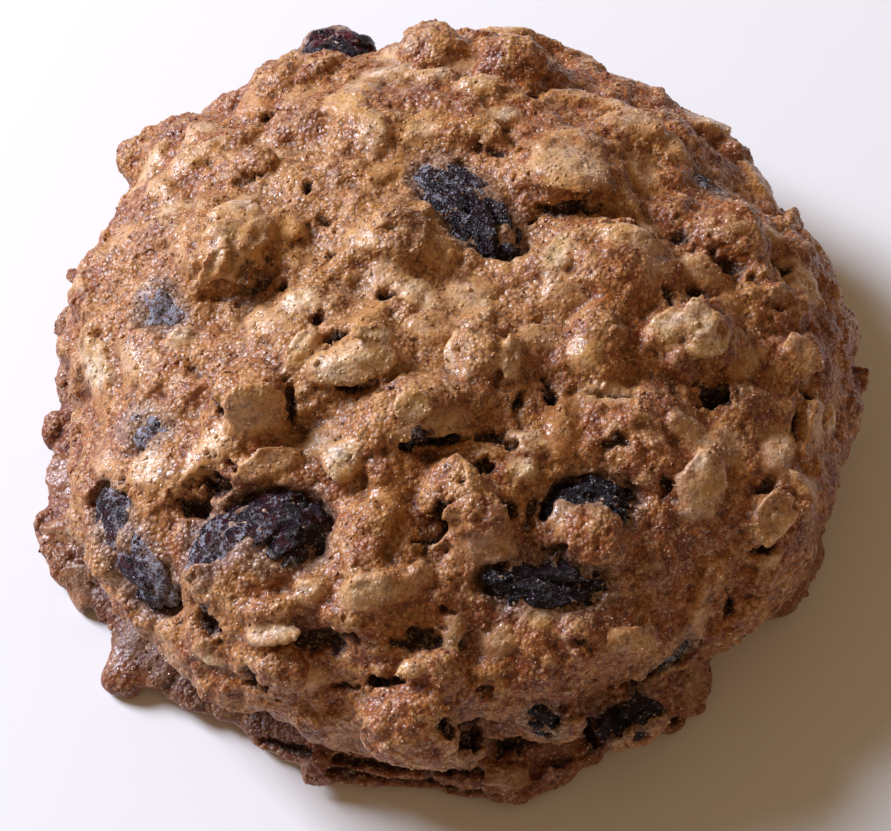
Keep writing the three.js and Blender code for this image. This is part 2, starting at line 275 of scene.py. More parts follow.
def oval(local, length, width):
    """How far out of an oval each local point lies: 0 in its middle, 1 on its border."""
    return np.hypot(local[:, 0] / length, local[:, 1] / width)


def near_by(points, place, reach):
    """The numbers of the points within reach of a place."""
    return np.nonzero(np.linalg.norm(points - place, axis=1) < reach)[0]


def far_from(tree, points):
    """The distance of each point from a surface."""
    return np.array([tree.find_nearest(point)[3] for point in points.tolist()])


EYE = Vector(camera.location) / MM
FOCAL = STAND_OFF / PIXEL
NEAR_AND_FAR = (270, 390, 1)    # where along a ray that just misses the cookie the nearest point is sought


def seen(tree, across, down, turn):
    """The spot that the camera sees at a pixel, turned as it looks in the picture, in degrees."""
    aside = (across - FRAME_PIXELS[0] / 2) / FOCAL
    above = (FRAME_PIXELS[1] / 2 - down) / FOCAL
    ray = (forward + right * aside + up * above).normalized()
    place, normal, _, _ = tree.ray_cast(EYE, ray)
    if place is None:
        along_ray = [tree.find_nearest(EYE + ray * reach) for reach in np.arange(*NEAR_AND_FAR)]
        place, normal, _, _ = min(along_ray, key=lambda found: found[3])
    angle = math.radians(turn)
    return Spot(tree, place, normal, right * math.cos(angle) + up * math.sin(angle))


# %% [markdown]
# ## What the crust is made of
#
# Dough clumps and tears as it bakes, so a crust is clods of every size that have run together, with oat
# flakes among them under a thin skin of dough. It is made the same way here: clods and flakes are sunk into
# the solid, and a voxel remesh runs them together into one skin with real overhangs and creases. A smooth
# dome that is only pushed in and out by noise never gets those.
#
# Places are those at which the camera sees them, in pixels, and turns are as seen. Sizes are in millimetres.

# %% Shapes that are sunk into the dough
BALL = ball_of(3)
SMALL_BALL = ball_of(2)
CLOD_BULGES = 5
CLOD_ROUGH = 0.22        # how far each bulge stands out or goes in, as a share of the clod


def clod(spot, length, width, height, rng):
    """An uneven lump on a spot, its lower half in the dough."""
    points, faces = BALL
    form = points.copy()
    for _ in range(CLOD_BULGES):
        side = unit(rng.normal(size=3))
        form = form * (1 + CLOD_ROUGH * rng.uniform(-1, 1) * (points @ side) ** 3)[:, None]
    form = form * np.array([length, width, height])
    return spot.world(form), faces


RINGS = 7
SPOKES = 26
RAGGED_RIM = 0.3         # unevenness of a flake's rim
WAVES = range(2, 9)      # numbers of waves round the rim
BUCKLE = 0.14            # how far the flake buckles up and down


def flake(spot, length, width, thick, lift, bend, roll, tip, rng):
    """An oat flake: a ragged oval, creased along its middle, bent, rolled and with one side tipped up."""
    angle = np.arange(SPOKES) * 2 * math.pi / SPOKES
    wave = sum(rng.uniform(0, RAGGED_RIM / k) * np.cos(k * angle + rng.uniform(0, 6.3)) for k in WAVES)
    radius = np.linspace(0, 1, RINGS + 1)[1:] ** 0.8
    u = np.append(0, radius[:, None] * np.cos(angle) * (1 + wave))
    v = np.append(0, radius[:, None] * np.sin(angle) * (1 + wave))
    rim = np.append(0, np.repeat(radius, SPOKES))
    body = thick * np.sqrt(np.clip(1 - rim ** 4, 0, 1)) * 0.5 + 0.03
    crease = -0.2 * thick * np.exp(-(v / 0.14) ** 2) * (1 - rim ** 2)
    middle = (bend * u ** 2 + roll * v ** 2 + BUCKLE * np.sin(3.0 * u + rng.uniform(0, 6)) * np.cos(2.6 * v)
              + tip[0] * u + tip[1] * v + lift)
    upper = np.stack([u * length, v * width, middle + body + crease], 1)
    lower = np.stack([u * length, v * width, middle - body + crease], 1)
    count = len(u)
    faces = []
    for s in range(SPOKES):
        t = (s + 1) % SPOKES
        faces.append((0, 1 + s, 1 + t))
        for r in range(RINGS - 1):
            a = 1 + r * SPOKES + s
            b = 1 + r * SPOKES + t
            faces += [(a, a + SPOKES, b + SPOKES), (a, b + SPOKES, b)]
    faces = np.array(faces)
    last = 1 + (RINGS - 1) * SPOKES + np.arange(SPOKES)
    after = np.roll(last, -1)
    wall = [np.stack([last, last + count, after + count], 1), np.stack([last, after + count, after], 1)]
    points = spot.world(np.concatenate([upper, lower]))
    return points, np.concatenate([faces, faces[:, ::-1] + count, *wall])


# %% Clods that can be told apart
# Pixel across, pixel down, half length, half width, turn, height, and how toasted from 0 to 1.
CLODS = {
    "back_knob_left": (436, 50, 3.2, 2.6, 0, 2.0, 0.6),
    "back_knob_middle": (508, 58, 3.4, 2.6, 0, 2.0, 0.6),
    "back_knob_right": (576, 82, 3.0, 2.2, -30, 0.8, 0.7),
    "back_left_edge": (272, 82, 2.8, 2.3, 40, 1.3, 0.2),
    "back_left_ridge": (314, 74, 2.8, 0.9, 50, 1.2, 0.9),
    "far_left_edge": (190, 124, 2.0, 1.0, 10, 1.1, 0.9),
    "far_left_tip": (121, 152, 2.2, 1.6, 60, 2.6, 0.6),
    "toasted_dome": (402, 236, 3.0, 3.0, 0, 1.7, 1.0),
    "upright_ridge": (364, 196, 3.2, 1.2, 75, 1.5, 0.35),
    "behind_left_raisin": (345, 168, 1.9, 2.0, 0, 1.3, 0.6),
    "pale_ridge_back": (462, 134, 4.0, 1.4, 4, 1.2, 0.3),
    "ridge_far_back": (420, 100, 3.4, 1.2, -6, 1.0, 0.4),
    "beside_disc": (490, 150, 1.8, 1.2, -30, 1.0, 0.7),
    "pink_clod_right_back": (672, 178, 2.0, 1.8, 0, 1.2, 0.7),
    "brown_dome_right": (728, 226, 3.0, 3.0, 0, 1.5, 0.6),
    "big_clod_right": (612, 266, 3.4, 3.0, -20, 1.8, 0.5),
    "right_edge_back": (800, 256, 2.2, 2.4, -60, 0.5, 0.8),
    "pale_lump_right": (596, 326, 2.5, 2.2, 20, 1.7, 0.25),
    "small_ridge_right": (640, 356, 1.6, 0.9, -40, 1.1, 0.3),
    "shoulder_middle": (474, 344, 2.4, 3.4, 0, 1.5, 0.3),
    "orange_middle_left": (328, 306, 2.4, 1.8, 20, 1.2, 0.8),
    "ridge_middle": (446, 398, 5.6, 1.9, 12, 1.8, 0.6),
    "ridge_middle_left": (372, 428, 2.6, 1.8, 20, 1.2, 0.4),
    "big_lump_middle": (458, 492, 3.1, 3.4, 70, 2.0, 0.35),
    "big_lump_toast": (487, 516, 2.2, 2.0, 0, 1.6, 1.0),
    "left_of_crevice": (396, 474, 2.8, 2.4, 0, 1.0, 0.5),
    "lumps_front_left": (352, 536, 3.4, 2.2, 20, 1.5, 0.5),
    "pale_lump_front": (368, 592, 3.0, 1.7, 18, 1.6, 0.15),
    "chip_lump_front": (310, 592, 1.8, 1.4, 0, 1.2, 0.3),
    "lump_low_left": (345, 618, 2.6, 1.5, -10, 1.2, 0.4),
    "orange_right": (752, 402, 3.2, 2.1, -12, 1.5, 1.0),
    "clod_right_low": (650, 462, 2.4, 1.9, 0, 1.2, 0.6),
    "clod_right_middle": (600, 415, 2.4, 2.2, 0, 1.2, 0.6),
    "clod_right_of_arch": (662, 540, 2.2, 2.6, 0, 1.0, 0.6),
    "right_low_lobe": (780, 580, 2.4, 3.2, 80, 1.3, 0.5),
    "right_low_ridge": (790, 560, 3.6, 0.8, 85, 1.0, 0.4),
    "front_right_dome": (590, 640, 3.4, 2.6, 0, 1.2, 0.9),
    "front_middle_dome": (470, 610, 3.6, 2.2, 0, 1.0, 0.8),
    "sparkling_brow": (500, 692, 3.8, 3.2, -15, 1.5, 0.3),
    "orange_oval": (440, 676, 2.0, 1.9, 60, 1.3, 0.6),
    "orange_bead": (540, 676, 1.3, 1.2, 0, 1.0, 0.7),
    "big_front_clod": (412, 730, 4.6, 3.6, 0, 2.0, 0.5),
    "front_clod_right": (468, 752, 1.9, 1.4, 0, 1.2, 0.5),
    "red_clod_brow": (573, 722, 1.8, 2.2, 30, 1.3, 0.7),
    "low_right_lump": (652, 690, 3.6, 1.6, 12, 0.8, 0.6),
    "olive_lump_on_film": (236, 606, 1.9, 1.4, -10, 0.9, 0.1),
    "orange_clod_left": (280, 672, 1.9, 2.3, 80, 1.5, 0.9),
    "brow_lobe_left": (226, 694, 3.0, 2.6, -50, 1.4, 0.7),
    "lump_left_low": (200, 632, 1.8, 1.4, -40, 1.1, 0.4),
    "lump_left_low_second": (252, 642, 1.6, 1.1, -40, 0.9, 0.3),
    "left_brow_lip": (98, 552, 3.4, 0.7, -72, 0.9, 0.2),
    "left_brow_lip_low": (126, 600, 3.4, 0.7, -55, 0.9, 0.2),
    "left_brow_lip_end": (164, 640, 3.4, 0.7, -43, 0.9, 0.3),
    "left_brow_lip_front": (206, 681, 3.0, 0.7, -48, 0.8, 0.3),
    "foot_knob_left": (50, 428, 2.0, 1.6, 90, 1.7, 0.6),
    "foot_tip_left": (122, 688, 2.2, 1.6, -20, 1.8, 0.7),
    "foot_knob_far_left": (58, 568, 2.0, 1.4, -60, 1.2, 0.7),
    "foot_knob_right": (784, 606, 2.0, 1.6, 60, 1.3, 0.6),
    "left_crumb_plain": (176, 454, 3.2, 2.6, 20, 0.8, 0.3),
    "left_shoulder": (168, 372, 2.4, 2.4, 0, 1.1, 0.2),
    "left_knob": (118, 322, 1.8, 2.4, 70, 0.6, 0.2),
    "left_slope": (116, 262, 1.8, 2.6, 60, 0.4, 0.3),
    "left_slope_toast": (166, 224, 1.6, 1.9, 70, 1.1, 0.7),
    "back_left_patch": (250, 160, 2.6, 1.6, -10, 1.1, 0.6),
    "slab_front": (350, 667, 4.4, 1.2, 2, 1.1, 0.4),
    "lump_under_disc": (540, 262, 1.6, 1.8, 0, 1.0, 0.5),
    "clod_back_right": (694, 142, 1.8, 1.2, -40, 1.0, 0.7),
}
# The same columns; these lie on raisins and hide part of them.
CAPS = {
    "cap_of_arch": (590, 532, 3.1, 2.9, 0, 1.5, 0.5),
    "dust_on_front": (566, 560, 3.6, 0.8, -6, 0.7, 0.4),
    "film_on_large": (226, 594, 4.4, 2.4, -22, 0.9, 0.1),
    "film_on_large_low": (262, 612, 3.2, 1.5, 12, 1.1, 0.2),
    "chip_on_back": (439, 167, 0.8, 0.9, 60, 0.45, 0.1),
    "chip_on_back_low": (506, 234, 0.9, 1.3, 20, 0.5, 0.2),
    "fold_on_left": (131, 429, 1.5, 0.8, -38, 0.7, 0.0),
    "crumb_on_edge": (122, 541, 0.9, 1.2, 0, 0.5, 0.1),
    "lip_on_edge": (96, 530, 1.8, 0.6, -75, 0.9, 0.2),
    "rim_on_back_raisin": (318, 62, 2.6, 1.2, 20, 1.2, 0.8),
    "roof_of_brow_mid": (560, 692, 1.8, 1.0, -20, 0.9, 0.6),
    "roof_of_brow_right": (620, 690, 2.2, 1.1, 20, 1.2, 0.6),
    "roof_of_right_low": (668, 636, 2.4, 1.3, 20, 1.1, 0.5),
    "roof_of_right_back": (712, 158, 2.2, 1.0, -35, 0.9, 0.7),
    "film_on_high": (150, 296, 1.2, 0.9, 30, 0.6, 0.1),
}
print("clods by name:", len(CLODS), "caps:", len(CAPS))

# %% Flakes that can be told apart
# Pixel across, pixel down, half length, half width, turn, lift, bend, roll, tip lengthwise, tip crosswise
# and paleness.
FLAKES = {
    "disc_back_right": (570, 166, 4.0, 3.6, -20, 0.5, -0.3, -0.4, 0.1, -0.7, 0.45),
    "curled_left": (232, 252, 3.7, 2.7, -70, 0.9, -0.4, -1.1, 0.5, -0.2, 0.35),
    "curled_left_fold": (216, 262, 2.6, 1.0, -115, 1.0, -0.3, 0.6, 0, 0, 0.3),
    "long_pale_middle": (352, 366, 4.2, 2.1, 12, 0.35, -0.3, -0.2, 0, -0.3, 0.65),
    "streak_middle": (360, 360, 2.8, 0.9, 12, 0.8, -0.2, 0, 0, 0.2, 1.0),
    "above_streak": (374, 336, 2.5, 1.1, 14, 0.4, -0.2, 0.2, 0, 0.4, 0.5),
    "white_bits": (300, 303, 1.8, 1.1, 0, 0.5, 0, 0, 0.2, 0.2, 1.0),
    "pink_ridge": (303, 350, 2.4, 0.9, 58, 0.6, 0, 0.4, 0.2, 0.4, 0.7),
    "yellow_flat": (256, 408, 3.2, 2.8, -10, 0.5, -0.2, -0.3, -0.3, 0.3, 0.4),
    "trio_white": (668, 328, 2.0, 1.6, 60, 0.6, 0, 0.2, 0.3, 0.3, 0.75),
    "trio_striped": (700, 321, 1.9, 1.9, 85, 0.7, 0, 0.1, 0.3, 0, 0.8),
    "trio_cream": (708, 347, 2.0, 1.0, 8, 0.7, 0.2, 0.3, 0, -0.2, 1.0),
    "arc_right": (630, 240, 2.9, 1.3, -18, 0.7, -0.4, -0.3, 0, 0.5, 0.5),
    "upright_white": (559, 258, 2.9, 1.1, 84, 0.4, -0.2, 0.4, 0, 0.5, 0.85),
    "oval_on_ridge": (412, 406, 1.9, 1.6, 20, 1.4, 0, 0, 0, 0, 0.8),
    "ridge_lip": (430, 424, 3.6, 1.3, 10, 0.9, -0.2, 0, 0, -0.6, 0.3),
    "cream_left_middle": (343, 462, 1.9, 1.9, -60, 0.6, -0.2, 0.2, 0.2, -0.3, 0.9),
    "olive_upright": (510, 360, 2.2, 1.0, 85, 0.5, 0, 0.2, 0.2, 0.3, 0.5),
    "pink_upright": (462, 352, 2.6, 1.2, 80, 1.2, 0, 0.2, 0, 0.4, 0.7),
    "cream_chip": (523, 471, 1.3, 0.9, 10, 0.5, 0, 0, 0, -0.2, 0.9),
    "striped_right": (704, 480, 3.0, 2.4, 70, 0.4, -0.2, -0.3, 0.2, 0.2, 0.45),
    "bright_streak": (703, 468, 1.9, 0.7, 100, 0.9, 0, 0, 0.2, 0, 0.9),
    "pink_chip_right": (690, 508, 1.1, 0.8, 20, 0.5, 0, 0, 0, 0, 0.6),
    "golden_right": (772, 510, 2.4, 1.4, 34, 0.5, 0.3, 0.2, 0.2, 0.3, 0.25),
    "straw_right": (777, 529, 2.6, 0.45, 35, 0.8, 0.1, 0, 0.1, 0, 1.0),
    "tan_right": (776, 450, 2.9, 1.5, 62, 0.6, -0.2, -0.2, -0.3, -0.3, 0.5),
    "orange_far_right": (812, 424, 2.0, 1.3, 65, 0.5, 0, 0.1, 0.2, 0.3, 0.3),
    "cream_far_right": (828, 420, 1.1, 0.7, 80, 0.6, 0, 0, 0, 0, 1.0),
    "hood_over_pits": (700, 270, 2.3, 1.5, -30, 0.7, -0.3, -0.3, 0, 0.4, 0.3),
    "far_right_disc": (800, 284, 2.4, 1.7, -25, 0.6, -0.2, -0.2, 0.2, 0.3, 0.4),
    "ridge_flake_back": (636, 122, 3.3, 1.4, -12, 0.3, -0.2, 0, 0, 0.2, 0.4),
    "small_back_right": (674, 146, 1.5, 1.0, -55, 0.5, 0, 0, 0.2, 0, 0.35),
    "upright_right_back": (744, 214, 2.1, 0.8, 78, 0.5, 0, 0.2, 0, 0.2, 0.5),
    "olive_right_back": (766, 236, 1.3, 1.2, 0, 0.5, 0, 0, 0, 0, 0.5),
    "yellow_layer_back": (480, 86, 2.6, 1.0, -4, 0.6, 0, 0, 0, 0.4, 0.45),
    "pale_layer_back": (430, 78, 2.6, 0.9, -8, 0.6, 0, 0, 0, 0.3, 0.5),
    "small_pale_back": (503, 118, 1.4, 1.0, 20, 0.6, 0, 0, 0, 0, 0.7),
    "olive_far_left": (190, 160, 2.5, 1.4, 30, 0.2, -0.2, 0.1, 0, 0.2, 0.25),
    "bits_far_left": (216, 145, 1.2, 0.6, 30, 0.5, 0, 0, 0, 0.2, 0.5),
    "bluish_left": (100, 364, 2.8, 1.9, -40, 0.5, 0, 0, 0.2, 0.3, 1.0),
    "cream_left": (181, 338, 1.4, 0.9, 20, 0.5, 0, 0, 0, 0.3, 0.85),
    "orange_left": (268, 464, 3.1, 1.4, 20, 0.5, -0.3, 0.4, 0.2, 0.4, 0.25),
    "slab_left": (276, 636, 2.7, 1.1, 12, 0.8, 0.1, -0.1, 0.1, -0.3, 0.75),
    "chip_left_low": (212, 656, 1.2, 0.8, -20, 0.5, 0, 0, 0, 0, 0.8),
    "green_front": (544, 612, 2.3, 0.9, 20, 0.5, 0, 0, 0, -0.3, 0.5),
    "grey_front": (409, 670, 1.3, 1.0, 0, 0.4, 0, 0, 0, -0.2, 0.5),
    "golden_on_cap": (567, 522, 1.9, 1.5, -40, 1.6, 0, 0, 0, 0, 0.25),
    "pale_front": (370, 588, 2.6, 1.4, 16, 1.3, -0.2, 0.1, 0, 0.2, 0.6),
    "chip_front_left": (312, 590, 1.3, 1.0, 0, 1.1, 0, 0, 0, 0, 0.7),
    "upright_front_right": (697, 612, 2.0, 1.0, 84, 0.5, 0, 0, 0, 0.3, 0.3),
    "bits_low_right": (768, 558, 1.0, 0.7, 30, 0.5, 0, 0, 0, 0, 0.6),
    "foot_front": (506, 777, 2.4, 1.2, 4, 0.5, -0.2, 0, 0, -0.2, 0.55),
    "centre_low": (606, 396, 2.6, 1.2, 2, 0.3, 0, 0, 0, -0.4, 0.4),
    "centre_back": (470, 300, 2.6, 1.8, -10, 0.4, 0, -0.2, 0.2, 0.4, 0.4),
    "left_back": (236, 212, 2.4, 1.2, 10, 0.4, 0, 0, 0, 0.4, 0.5),
    "foot_left_low": (118, 655, 2.2, 1.6, 80, 0.4, 0, -0.3, 0, 0, 0.2),
}
print("flakes by name:", len(FLAKES))

# %% Pits that can be told apart
# Pixel across, pixel down, half length, half width, turn and depth.
PITS = {
    "black_pit_right": (714, 396, 1.2, 0.9, 25, 2.8),
    "shadow_of_curl": (256, 286, 2.0, 0.6, 35, 0.8),
    "shadow_of_curl_low": (222, 297, 1.4, 0.4, 5, 0.6),
    "slot_under_ridge": (434, 441, 2.9, 0.35, 8, 2.2),
    "slot_under_ridge_right": (492, 437, 1.4, 0.5, -10, 1.4),
    "upright_crevice": (435, 522, 2.2, 0.6, 62, 2.6),
    "pit_right_of_lump": (512, 508, 0.8, 0.6, -20, 2.2),
    "hole_by_large_raisin": (216, 488, 1.3, 0.9, 20, 2.4),
    "hole_by_large_raisin_second": (194, 508, 1.2, 0.6, -10, 2.2),
    "black_dot_left": (120, 480, 0.5, 0.4, 0, 1.6),
    "pore_back_left": (308, 185, 0.45, 0.65, 0, 1.9),
    "pore_middle_left": (330, 254, 0.5, 0.5, -40, 1.8),
    "pore_left": (282, 286, 0.45, 0.5, 0, 1.4),
    "pore_by_curl": (325, 222, 0.7, 0.4, 10, 1.2),
    "slit_back_left": (248, 180, 0.9, 0.3, 15, 1.2),
    "slot_back_left": (269, 117, 1.2, 0.35, 32, 1.5),
    "pore_centre": (384, 295, 0.7, 0.5, 0, 1.4),
    "slot_above_streak": (338, 332, 1.1, 0.45, 28, 1.3),
    "pore_orange": (318, 318, 0.5, 0.6, 0, 1.2),
    "teeth_under_streak": (348, 390, 1.3, 0.35, 4, 1.3),
    "teeth_under_streak_right": (384, 388, 1.2, 0.3, 4, 1.1),
    "slot_middle_right": (549, 390, 0.4, 0.95, 15, 2.0),
    "slot_middle_right_second": (520, 401, 0.35, 0.8, -30, 1.7),
    "pit_middle": (482, 467, 0.9, 0.6, 0, 1.7),
    "pit_under_disc": (575, 209, 2.8, 0.5, 6, 1.2),
    "pit_right_high": (671, 291, 0.6, 0.9, 0, 1.8),
    "pit_right_high_second": (700, 293, 1.1, 0.6, -10, 1.9),
    "pit_over_arc": (628, 222, 1.8, 0.4, -14, 1.2),
    "dark_hollow_right": (728, 266, 1.5, 0.8, -20, 1.3),
    "dark_hollow_right_second": (680, 236, 1.0, 1.0, 0, 1.1),
    "pore_far_right": (782, 270, 0.5, 0.6, -30, 1.4),
    "slit_far_right": (780, 307, 0.9, 0.3, -10, 1.0),
    "slit_right_edge": (808, 394, 0.8, 0.35, 10, 1.2),
    "slot_by_tan": (797, 424, 0.4, 1.1, -10, 1.2),
    "slot_over_golden": (767, 486, 1.1, 0.5, 45, 1.4),
    "slot_under_straw": (762, 551, 1.1, 0.35, 15, 1.5),
    "pit_right_middle": (616, 442, 1.1, 0.6, 30, 1.2),
    "pore_right_low": (666, 486, 0.5, 0.7, 0, 1.5),
    "crease_right": (610, 394, 3.2, 0.25, -1, 0.7),
    "pit_low_right": (731, 606, 0.4, 1.0, -15, 1.7),
    "crevice_left": (212, 402, 0.35, 1.6, 20, 1.2),
    "crevice_left_second": (293, 410, 0.4, 1.9, 8, 1.5),
    "hollow_left": (250, 683, 1.1, 1.0, 0, 2.2),
    "hollow_left_second": (206, 622, 1.4, 0.6, -35, 1.6),
    "slot_front_low": (341, 687, 1.0, 0.25, 2, 1.3),
    "slot_front_low_right": (378, 683, 1.9, 0.35, 6, 1.6),
    "hollow_front_left": (322, 644, 2.0, 0.8, -4, 1.2),
    "hollow_front": (420, 636, 1.4, 0.7, 20, 1.2),
    "pore_front": (443, 610, 0.5, 0.4, 0, 1.2),
    "pore_cap": (556, 551, 1.0, 0.5, -15, 1.5),
    "pore_brow": (487, 693, 0.5, 0.4, -20, 1.3),
    "pore_brow_second": (582, 645, 0.7, 0.35, 0, 1.0),
    "slot_brow": (462, 727, 2.2, 0.6, -6, 3.0),
    "slot_brow_right": (502, 744, 2.6, 0.7, -24, 3.0),
    "slot_brow_far": (612, 716, 3.4, 0.7, 26, 2.6),
    "slot_brow_end": (655, 703, 2.6, 0.35, -6, 1.8),
    "crack_low_right": (668, 664, 2.0, 0.55, 22, 2.0),
    "dark_left_of_arch": (532, 512, 0.5, 1.6, -15, 1.0),
    "nick_back": (536, 92, 0.9, 0.5, 30, 1.4),
    "nick_right_back": (698, 134, 0.6, 0.6, 0, 1.2),
    "nick_back_middle": (498, 152, 1.6, 0.35, -15, 1.0),
}
print("pits by name:", len(PITS))

# %% Grooves under the brow and between the layers of the foot
# Half width and depth in millimetres, then the pixels that the groove runs through.
GROOVES = {
    "under_front_brow": (0.7, 2.0, [(446, 728), (474, 740), (506, 746), (536, 744)]),
    "under_right_brow": (0.8, 2.0, [(592, 730), (616, 720), (642, 709), (662, 706)]),
    "foot_layer_upper": (0.45, 1.3, [(262, 742), (300, 752), (344, 758), (390, 768), (440, 772),
                                     (480, 776)]),
    "foot_layer_lower": (0.35, 1.0, [(330, 772), (380, 780), (430, 786), (480, 796)]),
    "foot_layer_right": (0.5, 1.3, [(556, 764), (596, 750), (640, 738), (676, 722)]),
    "low_crease_left": (0.6, 1.2, [(300, 640), (330, 634), (352, 640)]),
    "crease_front": (0.5, 1.2, [(396, 644), (430, 640), (466, 646)]),
}
print("grooves by name:", len(GROOVES))

# %% Dents of the outline and the undercut
# The same columns as the pits have. A dent is smooth and keeps the colour of what is around it.
DENTS = {
    "left_of_back_knob": (386, 40, 2.2, 2.4, 0, 3.0),
    "left_side": (64, 266, 4.4, 3.0, 75, 2.2),
    "right_low_side": (728, 660, 3.4, 1.8, 45, 1.6),
    "back_right_side": (660, 84, 4.6, 2.2, -26, 1.2),
    "right_back_side": (800, 205, 2.6, 2.2, -60, 1.3),
    "back_middle_side": (558, 42, 2.4, 2.4, 0, 2.2),
    "right_side": (868, 372, 3.0, 2.4, -85, 1.2),
}
# Over the foot of the lower left the side goes in. It lies between two azimuths, in degrees.
UNDERCUT_FROM = 205
UNDERCUT_TO = 243
UNDERCUT_Z = 6.2
UNDERCUT_HALF = 3.4      # half the height of the band that goes in
UNDERCUT = 3.6           # how far it goes in
UNDERCUT_INSIDE = 34     # nothing nearer to the middle than this takes part
print("dents by name:", len(DENTS), "undercut:", UNDERCUT, "mm")

# %% Raisins as fillers
# The dough closes over each raisin but for windows with a ragged border, where the raisin's skin shows. The
# numbers are the share of the skin under fine dough, how red it glows, and the side of the dust in the plan.
# The dust is real; its pale bluish tint is partly a painted reflection of the cool window light.
RAISIN_LOOKS = {
    "raisin_back_rim": (0.05, 1.0, -0.6, -0.8),
    "raisin_back": (0.32, 0.1, -0.7, 0.5),
    "raisin_left_high": (1.0, 0.2, -0.6, -0.8),
    "raisin_left_mid": (0.7, 0.4, -0.9, 0.1),
    "raisin_left_edge": (0.7, 0.5, 0.7, 0.3),
    "raisin_front_left": (0.32, 0.4, -0.9, -0.4),
    "raisin_arch": (0.1, 0.0, 0.3, -0.8),
    "raisin_front": (0.15, 0.1, 0.1, 0.9),
    "raisin_brow_mid": (0.1, 0.1, 0, 1),
    "raisin_brow_right": (0.05, 0.2, 0, 1),
    "raisin_right_low": (0.25, 0.1, 0.5, -0.8),
    "raisin_right_back": (0.6, 0.1, 0.6, -0.6),
}
# Raisin, pixel across, pixel down, half length and half width of the window in millimetres, turn.
WINDOWS = (
    ("raisin_back_rim", 338, 46, 4.6, 3.2, -12),
    ("raisin_back", 446, 184, 4.0, 2.8, -48),
    ("raisin_back", 484, 226, 4.2, 2.8, -46),
    ("raisin_left_high", 160, 305, 2.3, 2.1, -20),
    ("raisin_left_mid", 154, 434, 2.0, 1.7, -24),
    ("raisin_left_mid", 130, 422, 1.3, 0.7, -20),
    ("raisin_left_edge", 112, 508, 2.0, 4.0, 12),
    ("raisin_left_edge", 126, 554, 2.0, 3.4, 24),
    ("raisin_left_edge", 149, 594, 2.5, 2.9, 30),
    ("raisin_front_left", 286, 514, 4.5, 4.0, -10),
    ("raisin_front_left", 252, 506, 2.6, 2.4, 10),
    ("raisin_front_left", 212, 536, 3.9, 2.4, 48),
    ("raisin_arch", 588, 502, 4.8, 3.2, 8),
    ("raisin_front", 498, 578, 3.0, 1.8, -42),
    ("raisin_front", 556, 586, 5.6, 2.0, -2),
    ("raisin_brow_mid", 543, 719, 1.9, 1.1, -60),
    ("raisin_brow_right", 628, 716, 3.6, 1.2, 24),
    ("raisin_right_low", 667, 664, 2.6, 1.1, 26),
    ("raisin_right_back", 706, 180, 1.5, 1.0, -30),
)
LAP = 0.55               # how far the dough reaches out over the plain raisin where it covers it
UNDER_SKIN = -0.4        # and how far it stays under the raisin's skin in a window
RAGGED = 0.3             # unevenness of a window's border
WINDOW_DEPTH = 2.5       # a window doesn't go round to the raisin's far side
RAISIN_VOXEL = 0.24
RAISIN_SMOOTHING = 4     # rounds

dough_points, dough_faces = arrays_of(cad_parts["dough"].data)
raisin_arrays = {name: arrays_of(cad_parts[name].data) for name in RAISINS}
raisin_trees = {name: tree_of(*arrays) for name, arrays in raisin_arrays.items()}
smooth_raisins = {}
for name, arrays in raisin_arrays.items():
    points, faces = remeshed(name, *arrays, RAISIN_VOXEL)
    smooth_raisins[name] = (averaged(points, edges_of(faces), RAISIN_SMOOTHING), faces)


def side_of(points, name):
    """How far each point of a raisin lies towards the side that its dust comes from, -1 to 1."""
    from_x, from_y = RAISIN_LOOKS[name][2:]
    off = points[:, :2] - points[:, :2].mean(axis=0)
    along = off @ unit(np.array([from_x, from_y]))
    return along / np.abs(along).max()


fillers = []
bare_points = []
for name, (points, faces) in smooth_raisins.items():
    bare = np.zeros(len(points))
    uneven = RAGGED * (noise_at(points, 1.6, 4.4) + 0.7 * noise_at(points, 0.7, 9.4))
    for _, across, down, length, width, turn in [window for window in WINDOWS if window[0] == name]:
        spot = seen(raisin_trees[name], across, down, turn)
        local = spot.local(points)
        part = oval(local, length, width) + uneven + 10 * (local[:, 2] < -WINDOW_DEPTH)
        bare = np.maximum(bare, 1 - smoothstep(0.85, 1.1, part))
    offset = LAP + (UNDER_SKIN - LAP) * bare
    fillers.append((points + normals_of(points, faces) * offset[:, None], faces))
    bare_points.append(points[bare > 0.5])
bare_points = np.concatenate(bare_points)
bare_tree = KDTree(len(bare_points))
for index, point in enumerate(bare_points.tolist()):
    bare_tree.insert(point, index)
bare_tree.balance()
print("windows:", len(WINDOWS), "points of raisin that show:", len(bare_points))


def raisin_gap(places, reach=6.0):
    """Distance from each place to the nearest raisin, no further than the reach."""
    gaps = np.full(len(places), reach)
    for name, tree in raisin_trees.items():
        low = raisin_arrays[name][0].min(axis=0) - reach
        high = raisin_arrays[name][0].max(axis=0) + reach
        for i in np.nonzero(((places > low) & (places < high)).all(axis=1))[0]:
            found = tree.find_nearest(places[i].tolist(), gaps[i])
            if found[3] is not None:
                gaps[i] = min(gaps[i], found[3])
    return gaps


# %% Everything sunk in and run together
SEED = 5
VOXEL = 0.31
SOFTENING = 5            # rounds that melt the clods into the dough before the flakes go in
CLOD_RISE = 0.8          # share of a clod's named height that shows
FLAKE_RISE = 0.7         # the same for the lift of a flake
THICK = 0.7              # thickness of a flake with its coat of dough
OVER_FOOT = 1.5          # height over which clods and flakes that fill in may lie
rng = np.random.default_rng(SEED)
cover_tree = tree_of(*put_together([(dough_points, dough_faces)] + list(raisin_arrays.values())))
parts = [(dough_points, dough_faces)] + fillers
clod_marks = []
flake_marks = []

for across, down, length, width, turn, height, toast in list(CLODS.values()) + list(CAPS.values()):
    spot = seen(cover_tree, across, down, turn)
    parts.append(clod(spot, length, width, height * CLOD_RISE, rng))
    clod_marks.append((spot, length, width, toast))

